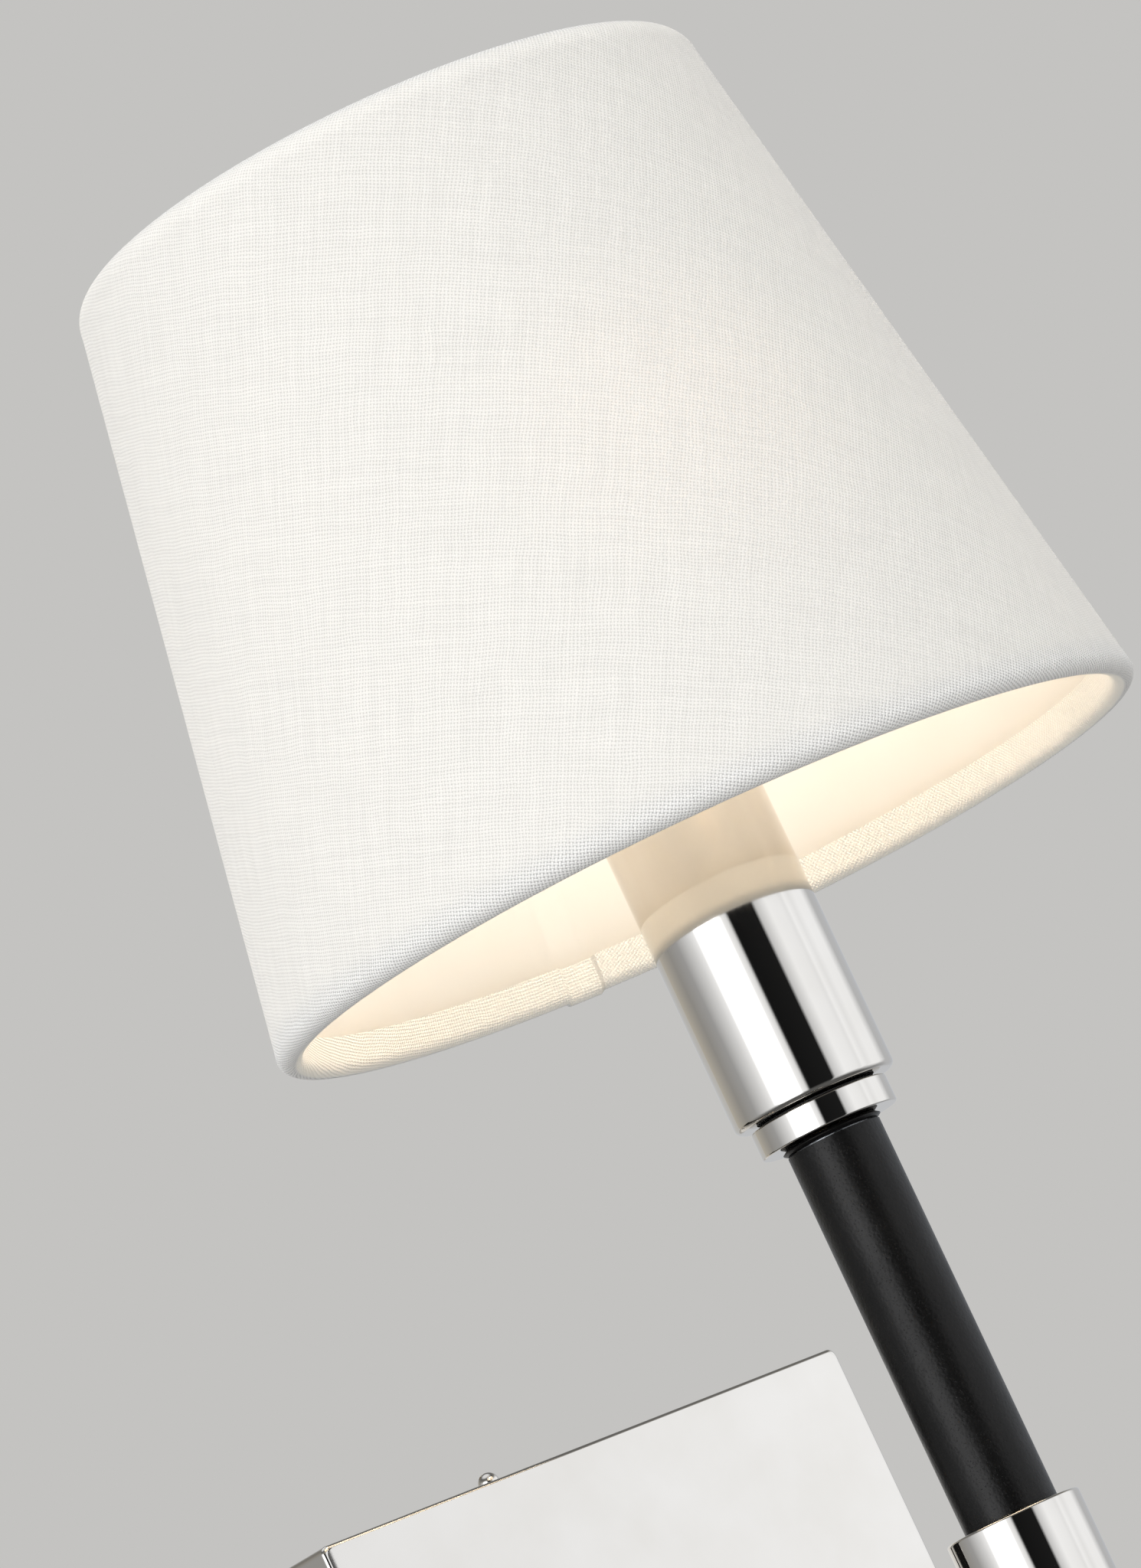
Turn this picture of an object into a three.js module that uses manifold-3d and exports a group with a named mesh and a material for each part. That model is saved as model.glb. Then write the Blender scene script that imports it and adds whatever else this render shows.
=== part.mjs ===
// Wall lamp: a deep square back plate, a short arm, a leather-wrapped stem and a tapered fabric shade.
// Millimetres, +Z up. The origin is the centre of the wall face, the wall is at +Y, the room at -Y.
import * as THREE from 'three';
import { mergeVertices } from 'three/addons/utils/BufferGeometryUtils.js';
import Module from 'manifold-3d';

const wasm = await Module();
wasm.setup();

const GAP = 0.3; // clearance between pieces that touch on the real lamp

// Back plate and the strap behind it.
const PLATE = { side: 140.5, depth: 40, wall: 1.2, corner: 1.6, edge: 0.8 };
const STRAP = { width: 24, thick: 2, tabDepth: 14, slotWidth: 5, slotLength: 16, slotAt: 41.5 };
const CAP_SCREW = { headRadius: 2.3, headHeight: 5.2, shankRadius: 1.7, hole: 2.1, reach: 7, fromWall: 7 };
const GROUND_SCREW = { at: 15, headRadius: 4.2, headHeight: 2.2, shankRadius: 1.6, hole: 2, slot: 1 };

// Stem column, on its own upright axis in front of the plate.
const COLUMN_Y = -146.5;
const HUB = { radius: 13.6, half: 17.6, edge: 0.6, bore: 5.3 };
const CAP = { radius: 12.4, height: 6, spigotRadius: 5, spigotLength: 7 };
const STEM = { radius: 9.5, leather: 1.2, coreWall: 1.5, top: 96.3 };
const LIP = { radius: 9.95, bottom: 96.6, height: 1.0 };
const RING = { radius: 13.95, bottom: 97.9, height: 5.1, edge: 0.35, bore: 5.3 };
const NECK = { radius: 12.2, bottom: 103.3, height: 0.6 };
const CUP = { radius: 16.5, bottom: 104.2, top: 166, wall: 1.2, floor: 2, edge: 0.9 };
const PIPE = { radius: 5, bore: 3.75, bottom: 8.5, top: 111 };
const NUT = { flats: 17, height: 3.2, bore: 5.3 };
const WASHER = { radius: 9, height: 0.8 };

// Arm between the plate and the hub.
const ARM = { radius: 8, wall: 1.5, nippleRadius: 5, nippleInside: 13, nippleStart: 8.5 };
const FLANGE = { radius: 15, height: 5 };

// Socket, bulb and the ring that clamps the shade.
const SOCKET = { radius: 13, bottom: 112, shoulder: 166.3, shoulderRadius: 16.5, shoulderHeight: 2.4,
  threadRadius: 13.8, top: 181, shellBore: 7, floor: 157 };
const SHADE_RING = { radius: 20, height: 7 };
const BULB = { baseRadius: 5.95, baseBottom: 161.5, neck: 181.4, widest: 213, radius: 17.5, top: 262,
  wall: 0.8 };

// Shade: a hardback cone of linen over a liner, with a wire hoop rolled into each rim.
const SHADE = { bottom: 151, top: 303.2, bottomRadius: 90.1, topRadius: 63.8, cloth: 0.6, liner: 0.4,
  bottomRoll: 2.6, topRoll: 3.6, hem: 4.5, wire: 1.3 };
const SPIDER = { ringRadius: 22.5, ringBore: 14.2, ringHeight: 1.6, arms: 3, wire: 1.2, firstArm: 90 };

// Leads.
const LEAD = { radius: 1.05, spread: 1.8, bend: 8 };
const WIRE_NUT = { radius: 5.6, tip: 3.4, length: 17 };
const NUT_PLACES = { black: [-32, -20, -34], white: [32, -20, -34] };

const STEPS = { fine: 40, medium: 28, small: 16, lead: 8, roll: 5 };

function look(hex, roughness, metalness) {
  return new THREE.MeshStandardMaterial({ color: hex, roughness, metalness });
}

const FINISH = {
  nickel: () => look(0xd9d6d0, 0.08, 1),
  steel: () => look(0xa8aaac, 0.4, 1),
  brass: () => look(0xb8964e, 0.35, 1),
  leather: () => look(0x2a2928, 0.5, 0),
  linen: () => look(0xf5f3ef, 0.95, 0),
  liner: () => look(0xfcf2e0, 0.6, 0),
  wire: () => look(0xdcdcd8, 0.4, 1),
  phenolic: () => look(0x23201e, 0.45, 0),
  glass: () => look(0xfff6e6, 0.3, 0),
  black: () => look(0x1c1c1c, 0.5, 0),
  white: () => look(0xeceae4, 0.5, 0),
  green: () => look(0x2f7a45, 0.45, 0),
};

const lamp = new THREE.Group();

function add(name, geometry, finish, parent = lamp) {
  const mesh = new THREE.Mesh(geometry, FINISH[finish]());
  mesh.name = name;
  parent.add(mesh);
  return mesh;
}

// The column's pieces are drawn about their own axis, which this group puts in front of the plate.
const column = new THREE.Group();
column.position.y = COLUMN_Y;
lamp.add(column);

// ---- solids -------------------------------------------------------------------------------------

function toSolid(geometry) {
  const bare = geometry.clone();
  bare.deleteAttribute('normal');
  bare.deleteAttribute('uv');
  const merged = mergeVertices(bare, 1e-4);
  const mesh = new wasm.Mesh({
    numProp: 3,
    vertProperties: new Float32Array(merged.attributes.position.array),
    triVerts: new Uint32Array(merged.index.array),
  });
  return new wasm.Manifold(mesh);
}

function toGeometry(solid) {
  const mesh = solid.getMesh();
  const geometry = new THREE.BufferGeometry();
  geometry.setAttribute('position', new THREE.BufferAttribute(new Float32Array(mesh.vertProperties), 3));
  geometry.setIndex(new THREE.BufferAttribute(new Uint32Array(mesh.triVerts), 1));
  return geometry;
}

function cut(geometry, ...tools) {
  let solid = toSolid(geometry);
  for (const tool of tools) {
    solid = solid.subtract(toSolid(tool));
  }
  return toGeometry(solid);
}

function join(...geometries) {
  let solid = toSolid(geometries[0]);
  for (const geometry of geometries.slice(1)) {
    solid = solid.add(toSolid(geometry));
  }
  return toGeometry(solid);
}

// A turned piece about Z. The outline is [radius, height] points that rise on the outside.
function turned(outline, steps = STEPS.medium) {
  const points = outline.map(([radius, height]) => new THREE.Vector2(radius, height));
  const lathe = new THREE.LatheGeometry(points, steps);
  lathe.rotateX(Math.PI / 2);
  return lathe;
}

// A turned piece with a bore: the outline is closed on itself.
function sleeve(outline, steps = STEPS.medium) {
  return turned([...outline, outline[0]], steps);
}

function tube(outer, inner, bottom, top, steps = STEPS.medium) {
  return sleeve([[inner, bottom], [outer, bottom], [outer, top], [inner, top]], steps);
}

// A round bar from one height to the next.
function rod(radius, bottom, top, steps = STEPS.medium) {
  const bar = new THREE.CylinderGeometry(radius, radius, top - bottom, steps);
  bar.rotateX(Math.PI / 2);
  bar.translate(0, 0, (bottom + top) / 2);
  return bar;
}

function box(width, depth, height, x, y, z) {
  const block = new THREE.BoxGeometry(width, depth, height);
  block.translate(x, y, z);
  return block;
}

// Lays a piece drawn along +Z down along the arm, so that its +Z points to the wall.
function alongArm(geometry) {
  geometry.rotateX(-Math.PI / 2);
  return geometry;
}

// A hexagon nut drawn about Z, standing on z = 0.
function hexNut(flats, height, bore) {
  const nut = new THREE.CylinderGeometry(flats / Math.sqrt(3), flats / Math.sqrt(3), height, 6);
  nut.rotateX(Math.PI / 2);
  nut.translate(0, 0, height / 2);
  return cut(nut, rod(bore, -1, height + 1));
}

// Points of an arc, from one angle to another in degrees.
function arc(centreX, centreY, radius, from, to, count) {
  const points = [];
  for (let i = 0; i <= count; i += 1) {
    const angle = THREE.MathUtils.degToRad(from + ((to - from) * i) / count);
    points.push([centreX + radius * Math.cos(angle), centreY + radius * Math.sin(angle)]);
  }
  return points;
}

function outlineShape(points) {
  return new THREE.Shape(points.map(([x, y]) => new THREE.Vector2(x, y)));
}

// A round lead along a smooth curve through the given points.
function lead(points, radius, steps) {
  const curve = new THREE.CatmullRomCurve3(points.map((p) => new THREE.Vector3(...p)), false, 'centripetal');
  const section = outlineShape(arc(0, 0, radius, 0, 360, STEPS.lead).slice(1));
  return new THREE.ExtrudeGeometry(section, { steps, extrudePath: curve, bevelEnabled: false });
}

// ---- back plate, strap and screws ---------------------------------------------------------------

function roundedSquare(side, corner) {
  const inset = side / 2 - corner;
  return outlineShape([
    ...arc(inset, inset, corner, 0, 90, 4),
    ...arc(-inset, inset, corner, 90, 180, 4),
    ...arc(-inset, -inset, corner, 180, 270, 4),
    ...arc(inset, -inset, corner, 270, 360, 4),
  ]);
}

// A square block from the wall (y = 0) or beyond it, out to the given depth in front of it.
function squareBlock(side, corner, from, to, edge) {
  const shape = roundedSquare(side - 2 * edge, corner);
  const block = new THREE.ExtrudeGeometry(shape, {
    depth: to - from - edge,
    bevelEnabled: edge > 0,
    bevelThickness: edge,
    bevelSize: edge,
    bevelSegments: 3,
    steps: 1,
  });
  block.rotateX(Math.PI / 2);
  block.translate(0, -from, 0);
  return block;
}

function backplate() {
  const { side, depth, wall, corner, edge } = PLATE;
  const outside = squareBlock(side, corner, -5, depth, edge);
  const beyondWall = box(side * 2, 20, side * 2, 0, 10, 0);
  const inside = squareBlock(side - 2 * wall, 0.6, -8, depth - wall, 0);
  const armHole = alongArm(rod(HUB.bore, -depth - 5, -depth + 5));
  const screwHole = rod(CAP_SCREW.hole, -side, side, STEPS.small);
  screwHole.translate(0, -CAP_SCREW.fromWall, 0);
  return cut(outside, beyondWall, inside, armHole, screwHole);
}

function mountingBracket() {
  const { width, thick, tabDepth, slotWidth, slotLength, slotAt } = STRAP;
  const reach = PLATE.side / 2 - PLATE.wall - GAP;
  const strap = box(width, thick, 2 * reach, 0, -thick / 2, 0);
  const tabs = [1, -1].map((end) => box(width, tabDepth, thick, 0, -tabDepth / 2, end * (reach - thick / 2)));
  const tabHole = rod(CAP_SCREW.hole, -reach - 1, reach + 1, STEPS.small);
  tabHole.translate(0, -CAP_SCREW.fromWall, 0);
  const slots = [1, -1].map((end) => box(slotWidth, 4 * thick, slotLength, 0, 0, end * slotAt));
  const groundHole = alongArm(rod(GROUND_SCREW.hole, -thick * 2, thick, STEPS.small));
  groundHole.translate(0, 0, GROUND_SCREW.at);
  return cut(join(strap, ...tabs), tabHole, ...slots, groundHole);
}

// Domed head outside the plate, and a shank through the plate into the strap's tab. Head up at z = 0.
function capScrew() {
  const { headRadius, headHeight, shankRadius, reach } = CAP_SCREW;
  const straight = headHeight - headRadius;
  return turned([
    [0, -reach],
    [shankRadius, -reach],
    [shankRadius, GAP],
    [headRadius, GAP],
    ...arc(0, straight, headRadius, 0, 80, 5),
    [0, headHeight],
  ], STEPS.small);
}

function groundScrew() {
  const { headRadius, headHeight, shankRadius, slot } = GROUND_SCREW;
  const screw = turned([
    [0, -STRAP.thick + GAP],
    [shankRadius, -STRAP.thick + GAP],
    [shankRadius, GAP],
    [headRadius, GAP],
    [headRadius, headHeight - 0.6],
    [headRadius - 0.8, headHeight],
    [0, headHeight],
  ], STEPS.small);
  return cut(screw, box(2 * headRadius + 1, slot, 2, 0, 0, headHeight + 0.2));
}

add('backplate', backplate(), 'nickel');
add('mounting_bracket', mountingBracket(), 'steel');

const topScrew = add('cap_screw_top', capScrew(), 'nickel');
topScrew.position.set(0, -CAP_SCREW.fromWall, PLATE.side / 2);
const bottomScrew = add('cap_screw_bottom', capScrew(), 'nickel');
bottomScrew.position.set(0, -CAP_SCREW.fromWall, -PLATE.side / 2);
bottomScrew.rotation.x = Math.PI;

const groundScrewMesh = add('ground_screw', groundScrew(), 'green');
groundScrewMesh.position.set(0, -STRAP.thick, GROUND_SCREW.at);
groundScrewMesh.rotation.x = Math.PI / 2;

// ---- arm ----------------------------------------------------------------------------------------

const plateFront = -PLATE.depth;
const plateInside = plateFront + PLATE.wall;

function armTube() {
  const start = COLUMN_Y + HUB.radius / 2;
  const pipe = alongArm(tube(ARM.radius, ARM.radius - ARM.wall, start, plateFront - GAP));
  const saddle = rod(HUB.radius + GAP, -20, 20, STEPS.fine);
  saddle.translate(0, COLUMN_Y, 0);
  return cut(pipe, saddle);
}

function armFlange() {
  const { radius, height } = FLANGE;
  const bore = ARM.radius + GAP;
  const face = plateFront - GAP;
  return alongArm(sleeve([
    [bore, face - height],
    [radius - 3, face - height],
    [radius - 0.8, face - height + 1.6],
    [radius, face - height + 3],
    [radius, face],
    [bore, face],
  ]));
}

add('arm_tube', armTube(), 'nickel');
add('arm_flange', armFlange(), 'nickel');

const nippleStart = COLUMN_Y + ARM.nippleStart;
const nippleEnd = plateFront + ARM.nippleInside;
add('arm_nipple', alongArm(tube(ARM.nippleRadius, PIPE.bore, nippleStart, nippleEnd, STEPS.small)), 'brass');

// Ring terminal, then the lock nut, against the inside of the plate.
function ringTerminal() {
  const plate = rod(8, 0, WASHER.height, STEPS.small);
  const tongue = box(5, 12, WASHER.height, 0, 12, WASHER.height / 2);
  return cut(join(plate, tongue), rod(NUT.bore, -1, 2, STEPS.small));
}

const terminalAt = plateInside + GAP;
const terminal = add('ring_terminal', alongArm(ringTerminal()), 'steel');
terminal.position.y = terminalAt;
const armNutAt = terminalAt + WASHER.height + GAP;
const armNut = add('arm_locknut', alongArm(hexNut(NUT.flats, NUT.height, NUT.bore)), 'steel');
armNut.position.y = armNutAt;

// ---- column -------------------------------------------------------------------------------------

function hub() {
  const { radius, half, edge, bore } = HUB;
  const body = sleeve([
    [bore, -half],
    [radius - edge, -half],
    [radius, -half + edge],
    [radius, half - edge],
    [radius - edge * 0.3, half - edge * 0.3],
    [radius - edge, half],
    [bore, half],
  ], STEPS.fine);
  return cut(body, alongArm(rod(bore, 0, radius + 5)));
}

function bottomCap() {
  const { radius, height, spigotRadius, spigotLength } = CAP;
  const top = -HUB.half - GAP;
  return turned([
    [0, top - height],
    [radius * 0.45, top - height + 0.5],
    [radius * 0.8, top - height + 1.7],
    [radius, top - height + 3.6],
    [radius, top - 1.2],
    [radius - 0.8, top],
    [spigotRadius, top],
    [spigotRadius, top + spigotLength],
    [0, top + spigotLength],
  ], STEPS.fine);
}

function leatherWrap() {
  const inner = STEM.radius - STEM.leather;
  return tube(STEM.radius, inner, HUB.half + GAP, STEM.top, STEPS.fine);
}

function leatherLip() {
  const { radius, bottom, height } = LIP;
  const inner = STEM.radius - STEM.leather;
  const middle = bottom + height / 2;
  return sleeve([
    [inner, bottom],
    [radius - 0.75, bottom],
    [radius, middle - 0.1],
    [radius, middle + 0.1],
    [radius - 0.75, bottom + height],
    [inner, bottom + height],
  ], STEPS.fine);
}

function upperRing() {
  const { radius, bottom, height, edge, bore } = RING;
  const top = bottom + height;
  return sleeve([
    [bore, bottom],
    [radius - edge, bottom],
    [radius, bottom + edge],
    [radius, top - edge],
    [radius - edge, top],
    [bore, top],
  ], STEPS.fine);
}

function socketCup() {
  const { radius, bottom, top, wall, floor, edge } = CUP;
  return sleeve([
    [RING.bore, bottom],
    [radius - edge, bottom],
    [radius - edge * 0.3, bottom + edge * 0.3],
    [radius, bottom + edge],
    [radius, top],
    [radius - wall, top],
    [radius - wall, bottom + floor],
    [RING.bore, bottom + floor],
  ], STEPS.fine);
}

const coreOuter = STEM.radius - STEM.leather - GAP;
add('hub', hub(), 'nickel', column);
add('bottom_cap', bottomCap(), 'nickel', column);
const coreInner = coreOuter - STEM.coreWall;
add('stem_core', tube(coreOuter, coreInner, HUB.half + GAP, RING.bottom - GAP), 'steel', column);
add('leather_wrap', leatherWrap(), 'leather', column);
add('leather_lip', leatherLip(), 'leather', column);
add('upper_ring', upperRing(), 'nickel', column);
add('neck_washer', tube(NECK.radius, RING.bore, NECK.bottom, NECK.bottom + NECK.height), 'black', column);
add('socket_cup', socketCup(), 'nickel', column);
add('lamp_pipe', tube(PIPE.radius, PIPE.bore, PIPE.bottom, PIPE.top, STEPS.small), 'brass', column);

const washerAt = CUP.bottom + CUP.floor + GAP;
const lockwasher = tube(WASHER.radius, NUT.bore, washerAt, washerAt + WASHER.height, STEPS.small);
add('cup_lockwasher', lockwasher, 'steel', column);
const cupNut = add('cup_locknut', hexNut(NUT.flats, NUT.height, NUT.bore), 'steel', column);
cupNut.position.z = washerAt + WASHER.height + GAP;

// ---- socket and bulb ----------------------------------------------------------------------------

// Threaded candle socket: a foot in the cup, a shoulder on the cup's rim and a thread for the ring.
function socketBody() {
  const { radius, bottom, shoulder, shoulderRadius, shoulderHeight, threadRadius } = SOCKET;
  const { top, shellBore, floor } = SOCKET;
  const body = turned([
    [0, bottom],
    [radius, bottom],
    [radius, shoulder],
    [shoulderRadius, shoulder],
    [shoulderRadius, shoulder + shoulderHeight],
    [threadRadius, shoulder + shoulderHeight],
    [threadRadius, top - 0.6],
    [threadRadius - 0.6, top],
    [0, top],
  ], STEPS.medium);
  const leadHoles = [1, -1].map((side) => {
    const hole = rod(LEAD.radius + GAP, bottom - 1, bottom + 8, STEPS.small);
    hole.translate(side * LEAD.spread, 0, 0);
    return hole;
  });
  return cut(body, rod(shellBore, floor, top + 1), ...leadHoles);
}

function screwShell() {
  const outer = SOCKET.shellBore - GAP;
  const inner = outer - 0.4;
  const bottom = SOCKET.floor + GAP;
  return sleeve([
    [4, bottom],
    [outer, bottom],
    [outer, SOCKET.top - 2],
    [inner, SOCKET.top - 2],
    [inner, bottom + 0.4],
    [4, bottom + 0.4],
  ], STEPS.small);
}

function bulbBase() {
  const { baseRadius, baseBottom, neck } = BULB;
  return turned([
    [0, baseBottom],
    [baseRadius - 1.6, baseBottom],
    [baseRadius, baseBottom + 1.6],
    [baseRadius, neck - GAP],
    [0, neck - GAP],
  ], STEPS.small);
}

// Half outline of the candle bulb, a smooth run from neck to tip.
function bulbOutline(inset) {
  const { baseRadius, neck, widest, radius, top } = BULB;
  const spline = new THREE.SplineCurve([
    new THREE.Vector2(baseRadius - inset, neck),
    new THREE.Vector2(baseRadius + 1.2 - inset, neck + 5),
    new THREE.Vector2(radius * 0.82 - inset, neck + 17),
    new THREE.Vector2(radius - inset, widest),
    new THREE.Vector2(radius * 0.84 - inset, widest + 20),
    new THREE.Vector2(radius * 0.42 - inset * 0.8, widest + 39),
    new THREE.Vector2(0, top - inset),
  ]);
  return spline.getPoints(10).map((point) => [point.x, point.y]);
}

function bulbGlass() {
  const outside = bulbOutline(0);
  const inside = bulbOutline(BULB.wall).reverse();
  return turned([...outside, ...inside, outside[0]], STEPS.medium);
}

add('socket_body', socketBody(), 'phenolic', column);
add('screw_shell', screwShell(), 'brass', column);
add('center_contact', rod(2, SOCKET.floor + GAP, SOCKET.floor + 1.5, STEPS.small), 'brass', column);
add('bulb_base', bulbBase(), 'nickel', column);
const insulatorBottom = BULB.baseBottom - GAP - 1;
add('bulb_insulator', rod(3.6, insulatorBottom, insulatorBottom + 1, STEPS.small), 'black', column);
add('bulb_tip', rod(1.8, insulatorBottom - GAP - 1, insulatorBottom - GAP, STEPS.small), 'steel', column);
add('bulb_glass', bulbGlass(), 'glass', column);

// ---- shade --------------------------------------------------------------------------------------

const shadeHeight = SHADE.top - SHADE.bottom;
const slope = (SHADE.bottomRadius - SHADE.topRadius) / shadeHeight;

// Outside radius of the fabric at a height.
function fabricRadius(height) {
  return SHADE.bottomRadius - slope * (height - SHADE.bottom);
}

// The cone of the fabric, between the two rims. The rolled hems carry on from its edges.
function fabricOutline() {
  const low = SHADE.bottom + SHADE.bottomRoll + GAP;
  const high = SHADE.top - SHADE.topRoll - GAP;
  return [
    [fabricRadius(low) - SHADE.cloth, low],
    [fabricRadius(low), low],
    [fabricRadius(high), high],
    [fabricRadius(high) - SHADE.cloth, high],
  ];
}

// The fabric rolls over the bottom hoop and up the inside.
function bottomHemOutline() {
  const { bottom, cloth, bottomRoll, hem } = SHADE;
  const low = bottom + bottomRoll;
  const centre = fabricRadius(low) - bottomRoll;
  const edge = centre - bottomRoll - slope * hem;
  return [
    ...arc(centre, low, bottomRoll, 180, 360, STEPS.roll),
    ...arc(centre, low, bottomRoll - cloth, 360, 180, STEPS.roll),
    [edge + cloth, low + hem],
    [edge, low + hem],
  ];
}

// The same roll over the top hoop and down the inside.
function topHemOutline() {
  const { top, cloth, topRoll, hem } = SHADE;
  const high = top - topRoll;
  const centre = fabricRadius(high) - topRoll;
  const edge = centre - topRoll + slope * hem;
  return [
    ...arc(centre, high, topRoll, 0, 180, STEPS.roll),
    [edge, high - hem],
    [edge + cloth, high - hem],
    ...arc(centre, high, topRoll - cloth, 180, 0, STEPS.roll),
  ];
}

function linerOutline() {
  const { bottom, top, cloth, liner, bottomRoll, topRoll, wire } = SHADE;
  const low = bottom + bottomRoll + wire + 2 * GAP;
  const high = top - topRoll - wire - 2 * GAP;
  const outer = (height) => fabricRadius(height) - cloth - GAP;
  return [
    [outer(low) - liner, low],
    [outer(low), low],
    [outer(high), high],
    [outer(high) - liner, high],
  ];
}

function hoop(height, roll) {
  const radius = fabricRadius(height) - roll;
  const ring = new THREE.TorusGeometry(radius, SHADE.wire, 6, STEPS.fine);
  ring.translate(0, 0, height);
  return ring;
}

// A flat ring on the socket's shoulder and three wires up to the top hoop.
function spider() {
  const { ringRadius, ringBore, ringHeight, arms, wire, firstArm } = SPIDER;
  const seat = SOCKET.shoulder + SOCKET.shoulderHeight + GAP;
  const ring = tube(ringRadius, ringBore, seat, seat + ringHeight, STEPS.medium);
  const hoopHeight = SHADE.top - SHADE.topRoll;
  const hoopRadius = fabricRadius(hoopHeight) - SHADE.topRoll;
  const end = hoopHeight - SHADE.wire - GAP;
  const pieces = [ring];
  for (let i = 0; i < arms; i += 1) {
    const arm = lead([
      [ringRadius - 1, 0, seat + ringHeight / 2],
      [ringRadius + 4, 0, seat + ringHeight / 2 + 1.5],
      [ringRadius + 9, 0, seat + 14],
      [(ringRadius + hoopRadius) / 2 + 3, 0, (seat + end) / 2],
      [hoopRadius - 1.5, 0, end - 13],
      [hoopRadius, 0, end - 6],
      [hoopRadius, 0, end],
    ], wire, 18);
    arm.rotateZ(THREE.MathUtils.degToRad(firstArm + (360 / arms) * i));
    pieces.push(arm);
  }
  return join(...pieces);
}

function shadeRing() {
  const { radius, height } = SHADE_RING;
  const bore = SOCKET.threadRadius + GAP;
  const bottom = SOCKET.shoulder + SOCKET.shoulderHeight + SPIDER.ringHeight + 2 * GAP;
  return sleeve([
    [bore, bottom],
    [radius, bottom],
    [radius, bottom + 2],
    [radius - 3.5, bottom + 2.6],
    [radius - 3.5, bottom + height - 0.6],
    [radius - 4.2, bottom + height],
    [bore, bottom + height],
  ], STEPS.medium);
}

add('shade_fabric', sleeve(fabricOutline(), STEPS.fine), 'linen', column);
add('bottom_hem', sleeve(bottomHemOutline(), STEPS.fine), 'linen', column);
add('top_hem', sleeve(topHemOutline(), STEPS.fine), 'linen', column);
add('shade_liner', sleeve(linerOutline(), STEPS.fine), 'liner', column);
add('bottom_wire', hoop(SHADE.bottom + SHADE.bottomRoll, SHADE.bottomRoll), 'wire', column);
add('top_wire', hoop(SHADE.top - SHADE.topRoll, SHADE.topRoll), 'wire', column);
add('spider', spider(), 'wire', column);
add('shade_ring', shadeRing(), 'phenolic', column);

// ---- leads --------------------------------------------------------------------------------------

// From the socket down the stem, round the bend in the hub and along the arm into the plate.
function leadRoute(side, place) {
  const x = side * LEAD.spread;
  const bendY = COLUMN_Y + LEAD.bend;
  const bend = arc(bendY, LEAD.bend, LEAD.bend, 180, 270, 4).map(([y, z]) => [x, y, z]);
  return [
    [x, COLUMN_Y, SOCKET.bottom + 7],
    [x, COLUMN_Y, 60],
    ...bend,
    [x, -90, 0],
    [x, nippleEnd - 4, 0],
    [x + side * 2, nippleEnd + 6, -1],
    [side * 16, -14, -8],
    [place[0], -13, -24],
    [place[0], place[1] + 1, place[2] + 2],
    [place[0], place[1], place[2] - 6],
  ];
}

function wireNut() {
  const { radius, tip, length } = WIRE_NUT;
  const shell = turned([
    [0, -length],
    [tip, -length],
    [radius, -2],
    [radius, 0],
    [0, 0],
  ], STEPS.small);
  return cut(shell, rod(3, -length + 4, 1, STEPS.small));
}

for (const [name, side] of [['black', -1], ['white', 1]]) {
  const place = NUT_PLACES[name];
  add(`wire_${name}`, lead(leadRoute(side, place), LEAD.radius, 44), name);
  const nut = add(`wire_nut_${name}`, wireNut(), name);
  nut.position.set(...place);
}

const groundStart = [0, plateInside + LEAD.radius + GAP, -18 - GAP];
add('ground_wire', lead([
  groundStart,
  [-1, groundStart[1] + 1, -23],
  [-8, -24, -30],
  [-17, -12, -18],
  [-16, -4.6, 4],
  [-10, -3.6, 14],
  [-GROUND_SCREW.headRadius - LEAD.radius - GAP, -3.6, GROUND_SCREW.at],
], LEAD.radius, 20), 'green');

export default lamp;
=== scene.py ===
"""Looks of a wall lamp with a fabric shade and a leather-wrapped stem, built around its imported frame."""
import math

import bmesh
import bpy
from mathutils import Matrix, Vector


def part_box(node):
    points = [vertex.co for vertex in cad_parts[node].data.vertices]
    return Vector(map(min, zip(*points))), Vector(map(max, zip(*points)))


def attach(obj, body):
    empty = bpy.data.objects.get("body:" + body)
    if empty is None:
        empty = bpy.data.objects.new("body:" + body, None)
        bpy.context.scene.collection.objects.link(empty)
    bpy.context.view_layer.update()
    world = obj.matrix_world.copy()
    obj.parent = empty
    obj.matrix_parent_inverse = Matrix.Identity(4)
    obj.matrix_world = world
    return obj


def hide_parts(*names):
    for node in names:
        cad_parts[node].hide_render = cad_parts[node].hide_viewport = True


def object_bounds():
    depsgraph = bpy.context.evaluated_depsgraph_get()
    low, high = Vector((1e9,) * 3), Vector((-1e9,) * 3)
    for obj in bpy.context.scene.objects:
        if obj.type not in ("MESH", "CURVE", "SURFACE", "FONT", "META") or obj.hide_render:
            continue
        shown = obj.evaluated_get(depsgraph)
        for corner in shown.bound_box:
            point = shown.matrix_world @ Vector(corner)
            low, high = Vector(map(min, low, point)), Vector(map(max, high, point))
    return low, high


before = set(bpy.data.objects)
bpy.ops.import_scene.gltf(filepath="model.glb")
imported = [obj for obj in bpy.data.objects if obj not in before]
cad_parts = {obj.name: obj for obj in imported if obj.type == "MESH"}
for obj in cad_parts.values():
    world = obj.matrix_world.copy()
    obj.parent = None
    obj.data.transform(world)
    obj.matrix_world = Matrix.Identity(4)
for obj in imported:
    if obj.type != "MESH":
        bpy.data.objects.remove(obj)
cad_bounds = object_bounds()

MM = 0.001
TAU = 2 * math.pi


# ---- places, read from the frame ---------------------------------------------------------------

def middle(node):
    low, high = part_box(node)
    return (low + high) / 2


def radius_of(node):
    low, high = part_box(node)
    return (high.x - low.x) / 2


def heights(node):
    low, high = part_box(node)
    return low.z, high.z


COLUMN = middle("hub")
PLATE_LOW, PLATE_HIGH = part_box("backplate")
PLATE_HALF = radius_of("backplate")

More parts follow.
